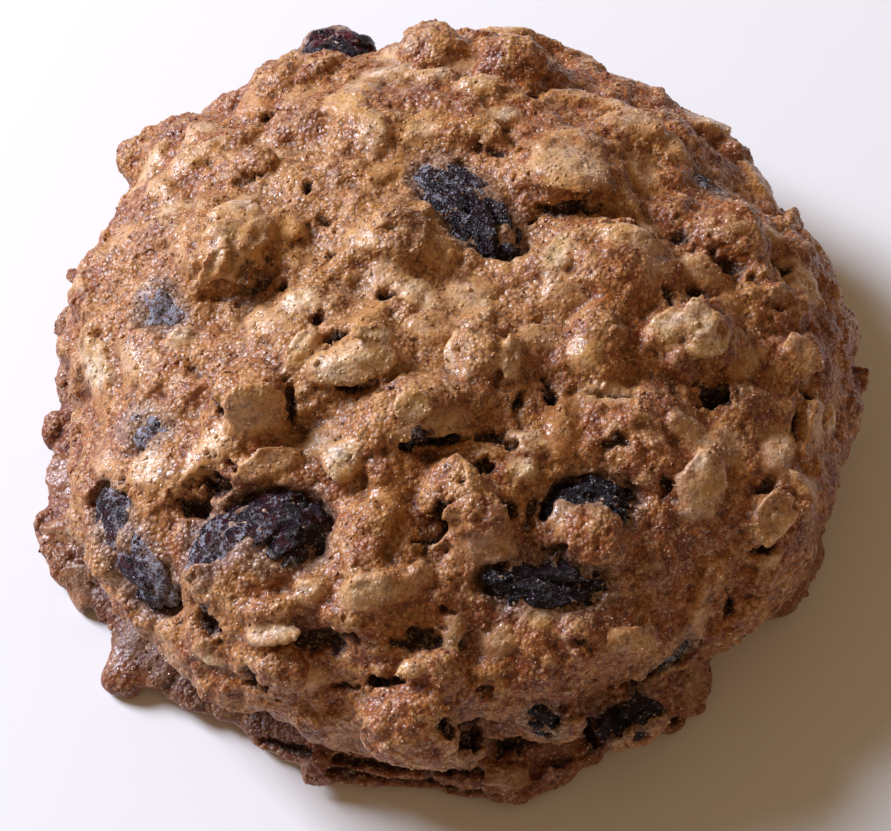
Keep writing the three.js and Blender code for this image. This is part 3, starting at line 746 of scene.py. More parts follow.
flakes = []
for across, down, length, width, turn, lift, bend, roll, tip_long, tip_cross, pale in FLAKES.values():
    spot = seen(cover_tree, across, down, turn)
    tip = (tip_long, tip_cross)
    flakes.append(flake(spot, length, width, THICK, lift * FLAKE_RISE, bend, roll, tip, rng))
    flake_marks.append((spot, length, width, pale))

TRIES = 2600
APART = 3.3              # least distance between two of the clods and flakes that fill in
CLEAR_OF_NAMED = 2.7     # and from those that have names
CLEAR_OF_RAISIN = 2.0
FLAKE_SHARE = 0.62
STEEPEST_FLAKE = 0.6     # least upward share of the normal where one of the flakes that fill in lies
pit_places = [seen(cover_tree, *pit[:2], 0).place for pit in PITS.values()]
named = np.array([spot.place for spot, *_ in clod_marks + flake_marks] + pit_places)
places, normals, _ = scattered(dough_points, dough_faces, TRIES, rng, OVER_FOOT)
kinds = (rng.random(TRIES) < FLAKE_SHARE) & (normals[:, 2] > STEEPEST_FLAKE)
to_named = np.linalg.norm(places[:, None] - named[None], axis=2).min(axis=1)
clear = (raisin_gap(places) > CLEAR_OF_RAISIN) & (to_named > CLEAR_OF_NAMED)
kept = np.empty((0, 3))
for place, normal, is_flake in zip(places[clear], normals[clear], kinds[clear]):
    if len(kept) and np.linalg.norm(kept - place, axis=1).min() < APART:
        continue
    kept = np.vstack([kept, place])
    lengthwise = Vector(normal).cross(Vector(rng.normal(size=3))).normalized()
    spot = Spot(cover_tree, Vector(place), Vector(normal), lengthwise)
    flatter = 0.5 + 0.5 * smoothstep(0.2, 0.8, normal[2])
    if is_flake:
        length, width, pale = rng.uniform((1.5, 0.9, 0.0), (3.2, 1.8, 0.6))
        lift, bend, roll = rng.uniform((0.0, -0.3, -0.3), (0.35, 0.2, 0.3))
        tip = rng.uniform(-0.3, 0.3, 2)
        flakes.append(flake(spot, length, width, THICK, lift * flatter, bend, roll, tip, rng))
        flake_marks.append((spot, length, width, pale))
    else:
        length, width, height, toast = rng.uniform((1.2, 1.0, 0.5, 0.2), (2.6, 2.0, 1.0, 1.0))
        parts.append(clod(spot, length, width, height * flatter, rng))
        clod_marks.append((spot, length, width, toast))
print("more flakes and clods:", len(kept))

LITTLE = 2600
LITTLE_SUNK = 0.2        # share of a little clod's size by which it is pushed in
places, normals, _ = scattered(dough_points, dough_faces, LITTLE, rng, OVER_FOOT)
sizes = 0.3 + 0.6 * rng.random(LITTLE) ** 2
clear = raisin_gap(places) > sizes * 0.7
for place, normal, size in zip(places[clear], normals[clear], sizes[clear]):
    points, faces = SMALL_BALL
    stretch = rng.uniform(0.7, 1.4, 3) * size
    turned_axes, _ = np.linalg.qr(rng.normal(size=(3, 3)))
    parts.append((place + (points * stretch) @ turned_axes - normal * size * LITTLE_SUNK, faces))
print("little clods:", int(clear.sum()))

soft, soft_faces = remeshed("soft", *put_together(parts), VOXEL)
soft = averaged(soft, edges_of(soft_faces), SOFTENING)
skin, skin_faces = remeshed("skin", *put_together([(soft, soft_faces)] + flakes), VOXEL)
print("skin:", len(skin), "points,", len(skin_faces), "triangles")

# %% [markdown]
# The skin is softened, and each of its points learns which flake it is on. Then it is roughened: crags of
# three sizes and a few pores, all less on flakes, beside raisins and at the very bottom.

# %% Crags and pores
SKIN_SMOOTHING = 3       # rounds
ON_FLAKE = 0.15          # a point this near to a flake's own surface is on the flake
OFF_FLAKE = 0.5          # and one this far is off it
skin_edges = edges_of(skin_faces)
skin = averaged(skin, skin_edges, SKIN_SMOOTHING)
skin_normals = normals_of(skin, skin_faces)
raisin_near = raisin_gap(skin, 2.5)

on_flake = np.zeros(len(skin))
pale = np.zeros(len(skin))
for (points, faces), (spot, length, width, value) in zip(flakes, flake_marks):
    near = near_by(skin, spot.place, 1.4 * max(length, width) + 1)
    share = 1 - smoothstep(ON_FLAKE, OFF_FLAKE, far_from(tree_of(points, faces), skin[near]))
    middle = 1 - smoothstep(0.4, 1.0, oval(spot.local(skin[near]), length, width))
    on_flake[near] = np.maximum(on_flake[near], share)
    pale[near] = np.maximum(pale[near], value * share * (0.45 + 0.7 * middle))

loose = smoothstep(0.3, 2.5, skin[:, 2]) * (0.5 + 0.5 * smoothstep(0.2, 1.2, raisin_near))
loose = loose * (1 - 0.5 * on_flake)
creased = np.abs(noise_at(skin, 2.6)) - 0.25     # the largest crags meet in creases
crags = 0.36 * creased + 0.28 * noise_at(skin, 1.3, 3.1) + 0.24 * noise_at(skin, 0.7, 7.7)
pores = 0.7 * smoothstep(0.4, 0.62, noise_at(skin, 0.8, 21.3))
pores = pores * smoothstep(0.0, 0.4, noise_at(skin, 5.0, 5.5))     # some parts of the crust have none
skin = skin + skin_normals * ((crags - 0.4 * pores) * loose)[:, None]
print("top of the crags:", round(skin[:, 2].max(), 2), "mm")

# %% [markdown]
# A dent moves everything near it one way, inwards along the direction at its middle, and the undercut moves
# the side level and inwards. That keeps the crags whole, where a push along each point's own normal would
# draw them out into spikes.

# %% Dents and the undercut
PIT_REACH = 4            # how far a dent or a pit reaches along its own direction
tree = tree_of(skin, skin_faces)
for across, down, length, width, turn, deep in DENTS.values():
    spot = seen(tree, across, down, turn)
    part = np.linalg.norm(spot.local(skin) / (length, width, PIT_REACH), axis=1)
    skin = skin - spot.out * (deep * np.exp(-part ** 3))[:, None]

azimuth = np.degrees(np.arctan2(skin[:, 1], skin[:, 0])) % 360
sector = smoothstep(UNDERCUT_FROM - 8, UNDERCUT_FROM + 4, azimuth)
sector = sector * smoothstep(UNDERCUT_TO + 8, UNDERCUT_TO - 4, azimuth)
from_axis = np.hypot(skin[:, 0], skin[:, 1])
band = np.exp(-((skin[:, 2] - UNDERCUT_Z) / UNDERCUT_HALF) ** 4)
band = band * smoothstep(-2, 2, from_axis - UNDERCUT_INSIDE)
inward = -skin[:, :2] / from_axis[:, None]
skin[:, :2] += inward * (UNDERCUT * sector * band)[:, None]
print("dents:", len(DENTS), "points of the undercut:", int((sector * band > 0.5).sum()))

# %% Pits and grooves
CALMING = 8              # rounds
DEEPEST_TEAR = 0.3       # unevenness of the walls of the pits
tree = tree_of(skin, skin_faces)
depth = np.zeros(len(skin))
for across, down, length, width, turn, deep in PITS.values():
    spot = seen(tree, across, down, turn)
    near = near_by(skin, spot.place, 1.6 * max(length, width) + 3)
    wobble = 1 + 0.6 * noise_at(skin[near], 1.1, 2.2) + 0.6 * noise_at(skin[near], 0.6, 8.2)
    part = np.linalg.norm(spot.local(skin[near]) / (length, width, PIT_REACH), axis=1)
    depth[near] = np.maximum(depth[near], deep * np.exp(-(part * wobble) ** 3))
for width, deep, run in GROOVES.values():
    spots = [seen(tree, across, down, 0) for across, down in run]
    for first, second in zip(spots[:-1], spots[1:]):
        step = second.place - first.place
        along = np.clip((skin - first.place) @ step / (step @ step), 0, 1)
        off = np.linalg.norm(skin - first.place - along[:, None] * step, axis=1)
        near = np.nonzero(off < 3.5 * width)[0]
        wobble = 1 + 0.6 * noise_at(skin[near], 1.4, 6.1) + 0.5 * noise_at(skin[near], 0.7, 4.3)
        depth[near] = np.maximum(depth[near], deep * np.exp(-(off[near] / width * wobble) ** 3))
for _ in range(2):       # whatever still stands far out is drawn in
    calm = averaged(skin, skin_edges, CALMING)
    skin += (calm - skin) * smoothstep(0.45, 0.9, np.linalg.norm(calm - skin, axis=1))[:, None]
depth = np.maximum(depth * smoothstep(0, 1, skin[:, 2]), 0)
torn = DEEPEST_TEAR * smoothstep(0.1, 0.8, depth) * noise_at(skin, 0.65, 15.5)
skin = skin - normals_of(skin, skin_faces) * (depth + torn)[:, None]
skin[:, 2] = np.maximum(skin[:, 2], 0)
print("pits:", len(PITS), "grooves:", len(GROOVES), "deepest", round(depth.max(), 2), "mm")

# %% [markdown]
# Numbers are kept at every point for the colours: how far it lies under the skin close by and a few
# millimetres around, how toasted the clod is that it belongs to, how pale the flake is that it covers, and
# how near it is to the foot, to the undercut, to the crown and to a bare raisin. From these the finish
# paints shade into the hollows, the pits and the recess under the brow, and highlights onto the raised
# parts; the colour is also darker towards the bottom, partly as painted shade.

# %% Marks for the colours
CROWN = (-8, 3)          # middle of the part of the top that has browned least
FINE_ROUNDS = 10
WIDE_ROUNDS = 150
skin_normals = normals_of(skin, skin_faces)
near_skin = averaged(skin, skin_edges, FINE_ROUNDS)
wide_skin = averaged(near_skin, skin_edges, WIDE_ROUNDS)
fine_hollow = np.einsum("nk,nk->n", near_skin - skin, skin_normals)
wide_hollow = np.einsum("nk,nk->n", wide_skin - skin, skin_normals)
print("fine hollows", np.round(np.percentile(fine_hollow, [2, 50, 98]), 2),
      "wide hollows", np.round(np.percentile(wide_hollow, [2, 50, 98]), 2))

from_crown = np.hypot(skin[:, 0] - CROWN[0], skin[:, 1] - CROWN[1])
toast = 0.35 - 0.3 * (1 - smoothstep(10, 28, from_crown))
for spot, length, width, value in clod_marks:
    near = near_by(skin, spot.place, 1.5 * max(length, width) + 1)
    share = 1 - smoothstep(0.7, 1.25, oval(spot.local(skin[near]), length, width))
    toast[near] += (value - toast[near]) * share

height = skin[:, 2]
# Painted shade: a band of height under the brow, in the sector of the undercut, which the finish darkens.
in_recess = smoothstep(1.0, 3.0, height) * (1 - smoothstep(7.0, 9.5, height))
in_recess = in_recess * (1 - smoothstep(38.5, 40.8, np.hypot(skin[:, 0], skin[:, 1])))
to_bare = np.array([bare_tree.find(point)[2] for point in skin.tolist()])
marks = {
    "fine_hollow": fine_hollow,
    "wide_hollow": wide_hollow,
    # depth of the pits, which the finish turns into painted shade
    "pit": np.clip(depth / 1.5, 0, 1),
    "toast": toast,
    "pale": pale,
    "on_flake": on_flake,
    # Darker towards the bottom: the foot's own deeper bake, and over the lower side partly painted shade.
    "foot": 0.6 * (1 - smoothstep(2.5, 6.5, height)) + 0.4 * (1 - smoothstep(5, 16, height)),
    # painted shade in the recess under the brow
    "recess_shade": sector * in_recess,
    "crown": 1 - smoothstep(8, 26, from_crown),
    "stain": 1 - smoothstep(0.5, 1.7, to_bare),
}
print("marks:", ", ".join(marks))

# %% The crust as a piece
# The flat underside needs few faces, so it is thinned first, and then whatever else is nearly flat.
FACES_WANTED = 192000
UNDERSIDE_KEPT = 0.02
before = tree_of(skin, skin_faces)
underside = (skin[:, 2] < 0.05) & (skin_normals[:, 2] < -0.7)
flat_faces = underside[skin_faces].all(axis=1).sum()
first_share = 1 - (1 - UNDERSIDE_KEPT) * flat_faces / len(skin_faces)
thin_skin, thin_faces = thinned("thin", skin, skin_faces, underside, first_share)
print("underside thinned:", int(flat_faces), "of", len(skin_faces), "faces, left", len(thin_faces))
thin_skin, thin_faces = thinned("thinner", thin_skin, thin_faces, None, FACES_WANTED / len(thin_faces))
thin_skin[:, 2] = np.maximum(thin_skin[:, 2], 0)
source = []              # for each point that is left, the point of the full skin that its marks come from
for point in thin_skin.tolist():
    face = skin_faces[before.find_nearest(point)[2]]
    source.append(face[np.argmin(((skin[face] - point) ** 2).sum(axis=1))])
dough = new_piece("dough_crust", thin_skin, thin_faces)
for name, values in marks.items():
    paint(dough, name, values[source])
paint(dough, "tone", np.full(len(source), 0.5))
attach(dough, "root")
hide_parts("dough")
print("crust triangles:", len(thin_faces))

# %% [markdown]
# ## The raisins
#
# A raisin is a grape that has lost its water, so its skin is too large for it and folds into ridges that run
# mostly from stalk to tip. The exact solid gives its place and size. Its skin is remeshed finer, swollen a
# little so that it meets the dough, and drawn in along the valleys between the ridges.

# %% Wrinkled skins
SWELL = 0.28             # how far the skin stands out over the exact solid
FOLD_DEPTH = 0.8
PLUMP = 2.2              # a raisin thinner than this either side of its middle has shallower folds
crust_tree = tree_of(skin, skin_faces)


def wrinkled(name, number):
    """A raisin's skin with its folds, as points, faces and the depth of fold at each point."""
    points, faces = smooth_raisins[name]
    middle = points.mean(axis=0)
    _, _, axes = np.linalg.svd(points - middle, full_matrices=False)
    local = (points - middle) @ axes.T
    reach = np.abs(local).max(axis=0)
    points = points + normals_of(points, faces) * SWELL
    folds = np.abs(noise_at(local * np.array([0.4, 1, 1]), 1.9, 3.7 * number))
    creases = np.abs(noise_at(local * np.array([0.55, 1, 1]), 0.95, 9.1 * number))
    fold = 0.7 * np.exp(-(folds / 0.16) ** 2) + 0.25 * np.exp(-(creases / 0.18) ** 2)
    points = points - normals_of(points, faces) * (fold * min(1, reach[2] / PLUMP) * FOLD_DEPTH)[:, None]
    return points, faces, fold


raisins = {}
for number, (name, (dust, red, _, _)) in enumerate(RAISIN_LOOKS.items()):
    points, faces, fold = wrinkled(name, number)
    raisin = new_piece(name + "_skin", points, faces)
    side = smoothstep(-0.6, 0.9, side_of(points, name))
    # the depth of the folds, which the finish turns into painted shade
    paint(raisin, "fold", np.clip(fold, 0, 1))
    rim = 1 - smoothstep(0.1, 0.7, far_from(crust_tree, points))
    paint(raisin, "dust", np.clip(dust * (0.3 + 1.2 * side + 0.7 * rim), 0, 1))
    paint(raisin, "red", np.full(len(points), red))
    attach(raisin, "root")
    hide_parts(name)
    raisins[name] = raisin
print("raisin triangles:", sum(len(raisin.data.polygons) for raisin in raisins.values()))

# %% [markdown]
# ## Crumbs and sugar
#
# Loose crumbs stick all over a baked crust, and coarse sugar that did not melt leaves tiny grains that catch
# the light. Both are real meshes, one piece for each kind.

# %% Crumbs
GRAIN_BULGES = 4


def sprinkled(places, normals, sizes, ball, rng, sink, rough):
    """Uneven grains, one at each place, partly sunk."""
    shape, faces = ball
    count = len(places)
    along = unit(np.cross(normals, rng.normal(size=(count, 3))))
    across = np.cross(normals, along)
    form = np.repeat(shape[None], count, axis=0)
    for _ in range(GRAIN_BULGES):
        side = unit(rng.normal(size=(count, 3)))
        reach = np.einsum("nk,ck->cn", shape, side)
        form = form * (1 + rough * rng.uniform(-1, 1, (count, 1)) * reach ** 3)[:, :, None]
    form = form * rng.uniform([0.8, 0.6, 0.5], [1.5, 1.1, 0.9], (count, 3))[:, None] - np.array([0, 0, sink])
    turned = (form[:, :, :1] * along[:, None] + form[:, :, 1:2] * across[:, None]
              + form[:, :, 2:] * normals[:, None])
    grown = places[:, None] + turned * sizes[:, None, None]
    joined = faces[None] + (np.arange(count) * len(shape))[:, None, None]
    return grown.reshape(-1, 3), joined.reshape(-1, 3)


def sprinkle(name, count, sizes, ball, rng, sink, rough, lowest):
    """A piece of many loose grains that take over the marks of the crust under them."""
    places, normals, chosen = scattered(skin, skin_faces, count, rng, lowest)
    clear = raisin_gap(places, 1.5) > SWELL + 0.1
    chosen = chosen[clear]
    count = len(chosen)
    points, faces = sprinkled(places[clear], normals[clear], sizes[clear], ball, rng, sink, rough)
    piece = new_piece(name, points, faces)
    each = len(points) // count
    for mark, values in marks.items():
        paint(piece, mark, np.repeat(values[skin_faces[chosen, 0]], each))
    paint(piece, "tone", np.repeat(rng.random(count), each))
    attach(piece, "root")
    print(name, count, "triangles:", len(faces))
    return piece


CRUMBS = 1300
FINE_CRUMBS = 7500
GRAINS = 6000
GRAIN_SEED = 33
TINY_BALL = ball_of(1)
rng = np.random.default_rng(GRAIN_SEED)
crumb_sizes = 0.2 + 0.22 * rng.random(CRUMBS) ** 2
crumbs = sprinkle("crumbs", CRUMBS, crumb_sizes, SMALL_BALL, rng, 0.4, 0.7, 1.2)
fine_sizes = 0.11 + 0.11 * rng.random(FINE_CRUMBS)
fine_crumbs = sprinkle("fine_crumbs", FINE_CRUMBS, fine_sizes, TINY_BALL, rng, 0.2, 0.6, 1.0)
grain_sizes = rng.uniform(0.05, 0.1, GRAINS)
sugar = sprinkle("sugar_grains", GRAINS, grain_sizes, TINY_BALL, rng, -0.2, 0.7, 2.0)
sugar.data.shade_flat()

# %% Bits of dough and specks of sugar on the raisins
BITS = 60                # tries on every raisin, of which those that suit it are kept
SPECKS = 420
STREWN_ROUGH = 0.7


def strewn(name, tries, near_dough, anywhere, sizes, sink, ball):
    """Grains on one raisin: thick near the dough and on its dusty side, thin elsewhere."""
    raisin = raisins[name]
    points, faces = arrays_of(raisin.data)
    places, normals, _ = scattered(points, faces, tries, rng, lowest=0.5)
    gap = far_from(crust_tree, places)
    dusty = RAISIN_LOOKS[name][0] * smoothstep(-0.5, 0.9, side_of(places, name))
    wanted = near_dough * (1 - smoothstep(0.1, 0.9, gap)) + anywhere * (0.2 + dusty)
    kept = rng.random(tries) < wanted
    grain_sizes = rng.uniform(*sizes, kept.sum())
    return sprinkled(places[kept], normals[kept], grain_sizes, ball, rng, sink, STREWN_ROUGH)


def strewn_piece(name, tries, near_dough, anywhere, sizes, sink, ball, toast):
    """All the grains of one kind on all the raisins, as one piece."""
    grains = [strewn(raisin, tries, near_dough, anywhere, sizes, sink, ball) for raisin in raisins]
    points, faces = put_together(grains)
    piece = new_piece(name, points, faces)
    each = len(ball[0])
    given = {"toast": toast, "stain": 1.0}
    for mark in marks:
        paint(piece, mark, np.full(len(points), given.get(mark, 0.0)))
    paint(piece, "tone", np.repeat(rng.random(len(points) // each), each))
    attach(piece, "root")
    print(name, len(points) // each, "triangles:", len(faces))
    return piece


bits = strewn_piece("raisin_bits", BITS, 0.8, 0.06, (0.1, 0.24), 0.15, SMALL_BALL, 0.3)
specks = strewn_piece("raisin_specks", SPECKS, 0.5, 0.45, (0.04, 0.09), -0.1, TINY_BALL, 0.2)
specks.data.shade_flat()

# %% [markdown]
# ## Finishes
#
# Every finish is a graph of noise, read in the object's own space, so it stays put from any side. The helper
# below adds a node, sets its inputs by name and links those that are given as sockets. Sizes of noise are in
# millimetres.

# %% A helper for node graphs
def channel(value):
    return ((value / 255 + 0.055) / 1.055) ** 2.4 if value > 10 else value / 255 / 12.92


def linear(red, green, blue):
    """A colour given as it looks on screen, 0 to 255, as the renderer wants it."""
    return (channel(red), channel(green), channel(blue), 1)


class Finish:
    """A material whose graph is built by short calls; `f` is one of these wherever it is used."""

    def __init__(self, name):
        self.material = bpy.data.materials.new(name)
        self.material.use_nodes = True
        self.tree = self.material.node_tree
        self.shader = self.tree.nodes["Principled BSDF"]
        self.space = self.add("ShaderNodeTexCoord").outputs["Object"]

    def add(self, kind, settings=None, **inputs):
        node = self.tree.nodes.new(kind)
        for key, value in (settings or {}).items():
            setattr(node, key, value)
        for key, value in inputs.items():
            self.feed(node, key.replace("_", " "), value)
        return node

    def feed(self, node, key, value):
        socket = node.inputs[int(key)] if key.isdigit() else node.inputs[key]
        if isinstance(value, bpy.types.NodeSocket):
            self.tree.links.new(value, socket)
        else:
            socket.default_value = value

    def noise(self, size, detail=2.0, roughness=0.5):
        node = self.add("ShaderNodeTexNoise", Vector=self.space, Scale=1 / (size * MM), Detail=detail,
                        Roughness=roughness)
        return node.outputs["Fac"]

    def stored(self, name):
        return self.add("ShaderNodeAttribute", {"attribute_name": name}).outputs["Fac"]

    def span(self, value, low, high, new_low=0.0, new_high=1.0):
        node = self.add("ShaderNodeMapRange", {"interpolation_type": "SMOOTHSTEP"}, Value=value)
        given = {"From Min": low, "From Max": high, "To Min": new_low, "To Max": new_high}
        for key, number in given.items():
            node.inputs[key].default_value = number
        return node.outputs["Result"]

    def math(self, operation, first, second):
        node = self.add("ShaderNodeMath", {"operation": operation})
        self.feed(node, "0", first)
        self.feed(node, "1", second)
        return node.outputs[0]

    def times(self, first, second):
        return self.math("MULTIPLY", first, second)

    def plus(self, first, second):
        return self.math("ADD", first, second)

    def larger(self, first, second):
        return self.math("MAXIMUM", first, second)

    def mix(self, share, first, second, blend="MIX"):
        node = self.add("ShaderNodeMix", {"data_type": "RGBA", "blend_type": blend})
        for index, value in ((0, share), (6, first), (7, second)):
            self.feed(node, str(index), value)
        return node.outputs[2]

    def bump(self, height, distance):
        node = self.add("ShaderNodeBump", Height=height, Distance=distance * MM, Strength=1.0)
        return node.outputs["Normal"]

    def tinted(self, colour, size, red, green, blue):
        """The colour from rich to milky by noise; the shares are how much each channel moves."""
        cloud = self.noise(size)
        scaled = self.add("ShaderNodeVectorMath", {"operation": "MULTIPLY_ADD"})
        self.tree.links.new(cloud, scaled.inputs[0])
        scaled.inputs[1].default_value = (red, green, blue)
        scaled.inputs[2].default_value = (1 - red / 2, 1 - green / 2, 1 - blue / 2)
        return self.mix(1.0, colour, scaled.outputs[0], "MULTIPLY")

    def grain(self, size):
        """Packed grains: distance from the middle of each, and a tone that differs from grain to grain."""
        cloud = self.add("ShaderNodeTexNoise", Vector=self.space, Scale=0.7 / (size * MM)).outputs["Color"]
        shift = self.add("ShaderNodeVectorMath", {"operation": "SCALE"}, Scale=0.5 * size * MM)
        self.feed(shift, "0", cloud)
        where = self.add("ShaderNodeVectorMath", {"operation": "ADD"})
        self.feed(where, "0", self.space)
        self.feed(where, "1", shift.outputs[0])
        cells = self.add("ShaderNodeTexVoronoi", Vector=where.outputs[0], Scale=1 / (size * MM))
        return cells.outputs["Distance"], cells.outputs["Color"]

    def set(self, **inputs):
        for key, value in inputs.items():
            self.feed(self.shader, key.replace("_", " "), value)


# %% [markdown]
# The dough's colour is laid on in this order: the crumb's own brown, pale flakes, patches, painted
# highlights on crests and edges, a foot that is darker towards the bottom and partly painted shade over the
# lower side, painted shade in hollows, pits and the recess under the brow, the film round the raisins, and
# at last the grain, with painted shade in the creases and pores between its grains.

# %% Baked dough
DOUGH_COLOURS = {
    "pale crumb": (176, 111, 45),
    "crumb": (155, 82, 25),
    "toasted": (128, 58, 13),
    "crown": (204, 152, 90),
    "coated flake": (206, 150, 88),
    "bare flake": (238, 208, 164),
    "light patch": (206, 152, 88),
    "dark patch": (100, 44, 11),
    # painted highlights: the next two colours lighten broad raised crests and fine raised edges
    "crest_highlight": (210, 160, 98),
    "edge": (206, 152, 90),
    # darker towards the bottom: partly the foot's own bake, partly painted shade
    "foot": (118, 52, 26),
    # painted shade, laid into hollows, pits and the recess under the brow
    "hollow": (48, 17, 4),
    "wet film": (64, 36, 28),
    "dry film": (156, 130, 112),
    "light grain": (232, 200, 164),
    # painted shade in the creases between grains
    "dark grain": (66, 26, 7),
    "crease": (62, 24, 6),
    # painted shade in small pores
    "speck": (56, 20, 5),
}
# Size of the clouds, then how far they move red, green and blue.
HUES = ((0.3, 0.2, 0.5, 1.2), (0.9, 0.2, 0.5, 1.3), (2.8, 0.15, 0.4, 1.1), (8.0, 0.1, 0.3, 0.9))


def dough_body(f, colour, hollow, wide, flake):
    """The colours of the dough and its flakes, with painted highlights on crests and edges, before the
    painted shade of the hollows and the grain.
    """
    toast = f.plus(f.stored("toast"), f.span(f.noise(3.2, 3.0), 0.3, 0.7, -0.45, 0.45))
    toast = f.plus(toast, f.span(f.noise(11.0, 2.0), 0.35, 0.65, -0.2, 0.2))
    body = f.mix(f.span(toast, 0.0, 0.5), colour["pale crumb"], colour["crumb"])
    mottled = f.span(f.noise(1.5, 4.0, 0.7), 0.34, 0.52, 0.1, 1)
    patches = f.noise(1.2, 4.0, 0.65)
    # Painted highlight: a lighter colour on broad raised parts, broken up by noise.
    crest_highlight = f.times(f.span(wide, 0.1, -0.7), f.span(f.noise(2.4, 3.0), 0.44, 0.6, 0, 0.5))
    coats = (
        (f.span(toast, 0.5, 1.1), "toasted"),
        (f.times(f.stored("crown"), 0.3), "crown"),
        (f.times(flake, 0.3), "coated flake"),
        (f.times(f.stored("pale"), mottled), "bare flake"),
        (f.span(patches, 0.52, 0.68, 0, 0.5), "light patch"),
        (f.span(patches, 0.48, 0.32, 0, 0.6), "dark patch"),
        (crest_highlight, "crest_highlight"),
        # painted highlight on fine raised edges
        (f.span(hollow, -0.03, -0.2, 0, 0.2), "edge"),
        # darker towards the bottom, partly painted shade
        (f.times(f.stored("foot"), 0.66), "foot"),
    )
    for share, name in coats:
        body = f.mix(share, body, colour[name])
    return body


def dough_finish():
    f = Finish("baked_dough")
    colour = {name: linear(*value) for name, value in DOUGH_COLOURS.items()}
    hollow = f.stored("fine_hollow")
    wide = f.stored("wide_hollow")
    flake = f.stored("on_flake")
    body = dough_body(f, colour, hollow, wide, flake)

    # Painted shade: the colour "hollow" goes into the fine and wide hollows, the pits and the recess under
    # the brow, where shade falls; the same mask also makes them rougher.
    dark = f.larger(f.span(hollow, 0.04, 0.24, 0, 0.6), f.span(wide, 0.05, 1.3, 0, 0.7))
    dark = f.larger(dark, f.span(f.stored("pit"), 0.05, 0.6, 0, 1))
    dark = f.larger(dark, f.times(f.stored("recess_shade"), 0.6))
    body = f.mix(dark, body, colour["hollow"])
    film = f.mix(f.span(f.noise(0.6, 3.0, 0.7), 0.42, 0.58), colour["wet film"], colour["dry film"])
    body = f.mix(f.times(f.stored("stain"), 0.65), body, film)

    gap, tone = f.grain(0.45)
    _, fine_tone = f.grain(0.24)
    tone = f.plus(f.span(tone, 0.2, 0.8, -0.22, 0.22), f.span(fine_tone, 0.2, 0.8, -0.3, 0.3))
    tone = f.plus(tone, f.span(f.stored("tone"), 0, 1, -0.15, 0.15))
    tone = f.plus(tone, f.span(f.noise(0.14, 2.0, 0.6), 0.3, 0.7, -0.25, 0.25))
    tone = f.times(tone, f.span(flake, 0, 1, 1.0, 0.7))
    # Painted shade: the creases between grains get a dark colour, less on flakes.
    creases = f.times(f.span(gap, 0.45, 0.85, 0, 0.4), f.span(flake, 0, 1, 1.0, 0.4))
    # Painted shade: small dark pores, which the bump also presses in.
    specks = f.span(f.noise(0.42, 3.0, 0.7), 0.36, 0.28, 0, 0.8)
    body = f.mix(f.span(tone, 0.05, 0.8, 0, 0.55), body, colour["light grain"])
    body = f.mix(f.span(tone, -0.05, -0.8, 0, 0.7), body, colour["dark grain"])
    # painted shade in the creases and the small pores
    body = f.mix(creases, body, colour["crease"])
    body = f.mix(specks, body, colour["speck"])
    for size, red, green, blue in HUES:
        body = f.tinted(body, size, red, green, blue)

    relief = f.times(gap, f.span(flake, 0, 1, -1.0, -0.5))
    relief = f.plus(relief, f.noise(0.9, 4.0, 0.6))
    relief = f.math("SUBTRACT", relief, specks)
    moist = f.span(f.noise(0.3, 2.0), 0.42, 0.62, 0.52, 0.26)
    moist = f.math("SUBTRACT", moist, f.times(flake, 0.1))
    f.set(Base_Color=body, Roughness=f.larger(moist, f.times(dark, 0.8)), Normal=f.bump(relief, 0.14),
          Subsurface_Weight=0.12, Subsurface_Scale=1.0 * MM, Subsurface_Radius=(1.0, 0.4, 0.15),
          Specular_IOR_Level=0.45, Sheen_Weight=0.08, Sheen_Roughness=0.5)
    return f.material


baked = dough_finish()
for piece in (dough, crumbs, fine_crumbs, bits):
    piece.data.materials.append(baked)
print("dough finish:", len(baked.node_tree.nodes), "nodes")


# %% Raisin skin
RAISIN_COLOURS = {
    "black": (9, 4, 8),
    "purple": (30, 12, 24),
    "red": (92, 20, 26),
    "brown dust": (138, 108, 94),
    # partly painted reflection: the dust is real, its pale bluish tint stands for the cool window light
    "bluish dust and reflection": (184, 182, 194),
    # painted shade in the folds
    "fold": (8, 4, 6),
}


def raisin_finish():
    f = Finish("raisin_skin")
    colour = {name: linear(*value) for name, value in RAISIN_COLOURS.items()}
    body = f.mix(f.span(f.noise(2.2, 3.0), 0.35, 0.7), colour["black"], colour["purple"])
    glow = f.times(f.stored("red"), f.span(f.noise(1.7, 2.0), 0.4, 0.62))
    body = f.mix(glow, body, colour["red"])
    powder = f.span(f.noise(0.2, 3.0, 0.75), 0.42, 0.6, 0, 0.6)
    clumps = f.span(f.noise(1.0, 4.0, 0.65), 0.36, 0.64, 0, 0.7)
    veil = f.plus(f.plus(powder, clumps), f.stored("dust"))
    veil = f.span(veil, 1.05, 1.3, 0, 0.85)
    # Dust on the skin; its bluish part is partly a painted reflection of the cool window light.
    dusty = f.mix(f.span(f.noise(0.5, 3.0), 0.42, 0.58), colour["brown dust"], colour["bluish dust and reflection"])
    body = f.mix(veil, body, dusty)
    # Painted shade: darker colour down in the folds of the skin.
    body = f.mix(f.times(f.stored("fold"), 0.5), body, colour["fold"])
    relief = f.plus(f.noise(0.4, 4.0, 0.7), f.times(veil, 0.5))
    f.set(Base_Color=body, Roughness=f.span(veil, 0.0, 0.6, 0.14, 0.7), Normal=f.bump(relief, 0.6),
          Specular_IOR_Level=0.35)
    return f.material


raisin_skin = raisin_finish()
for raisin in raisins.values():
    raisin.data.materials.append(raisin_skin)
print("raisin finish:", len(raisin_skin.node_tree.nodes), "nodes")


# %% Sugar
def sugar_finish(name, darker, lighter):
    f = Finish(name)
    f.set(Base_Color=f.mix(f.noise(0.4), darker, lighter), Roughness=0.16, Specular_IOR_Level=0.7)
    return f.material


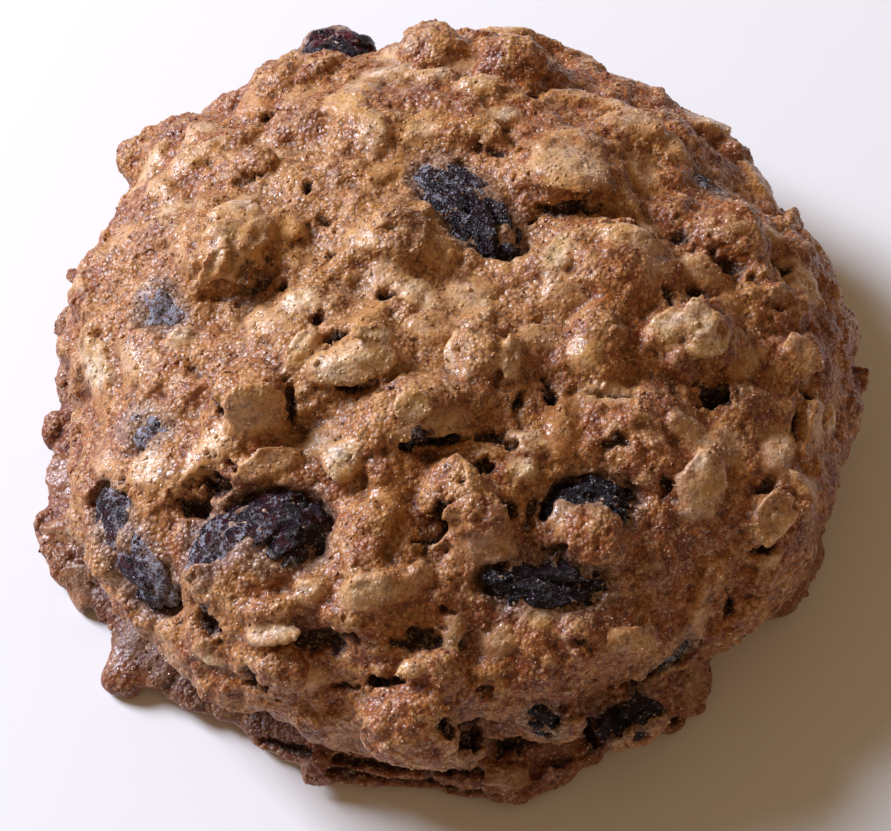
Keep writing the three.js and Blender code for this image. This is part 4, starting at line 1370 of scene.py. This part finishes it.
sugar.data.materials.append(sugar_finish("sugar_grain", linear(196, 146, 104), linear(240, 214, 190)))
specks.data.materials.append(sugar_finish("frost_speck", linear(150, 140, 146), linear(214, 212, 218)))
print("sugar on the crust and on the raisins: 2 finishes")

# %% [markdown]
# ## Floor and light
#
# A pale floor and one broad, cool window light from the upper left. The room gives back a little warm light,
# and so does the world, which is kept low so that the crags still throw shade. Cool light on the bright side
# and warm light in the shade leave the highlights neutral and the dark parts a rich brown.

# %% Floor
FLOOR = 2.0              # half its width in metres
corners = [(-FLOOR, -FLOOR, 0), (FLOOR, -FLOOR, 0), (FLOOR, FLOOR, 0), (-FLOOR, FLOOR, 0)]
floor_mesh = bpy.data.meshes.new("floor")
floor_mesh.from_pydata(corners, [], [(0, 1, 2, 3)])
floor = bpy.data.objects.new("floor", floor_mesh)
bpy.context.collection.objects.link(floor)
floor_finish = Finish("pale_floor")
floor_colour = floor_finish.mix(floor_finish.noise(30.0), linear(240, 239, 234), linear(244, 243, 238))
floor_finish.set(Base_Color=floor_colour, Roughness=0.8)
floor_mesh.materials.append(floor_finish.material)
floor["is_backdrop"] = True
print("floor:", 2 * FLOOR, "m wide")


# %% Lights
WARM = (1.0, 0.68, 0.4)
COOL = (0.9, 0.96, 1.18)
LIT = Vector((0, 0, 0.01))     # the place that both lights face
WORLD_STRENGTH = 0.2


def area_light(name, place, size, power, colour):
    """A square light that faces the middle of the cookie: place and size in metres, power in watts."""
    data = bpy.data.lights.new(name, "AREA")
    data.size = size
    data.energy = power
    data.color = colour
    lamp = bpy.data.objects.new(name, data)
    lamp.location = place
    lamp.rotation_euler = (LIT - Vector(place)).to_track_quat("-Z", "Y").to_euler()
    bpy.context.collection.objects.link(lamp)
    print(name, "light:", power, "W")


area_light("window", (-0.66, 0.36, 0.5), 0.34, 13.2, COOL)
area_light("room", (0.5, -0.6, 0.8), 0.8, 0.7, WARM)
world = bpy.data.worlds.new("world")
world.use_nodes = True
background = world.node_tree.nodes["Background"]
background.inputs["Color"].default_value = (*WARM, 1)
background.inputs["Strength"].default_value = WORLD_STRENGTH
bpy.context.scene.world = world
bpy.context.scene.view_settings.view_transform = "Standard"

# %% Sizes and finish
visual_box = [list(corner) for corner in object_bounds()]
for name, box in (("solids", cad_box), ("pieces", visual_box)):
    print("box of the", name, np.round(np.array(box) / MM, 1).tolist())
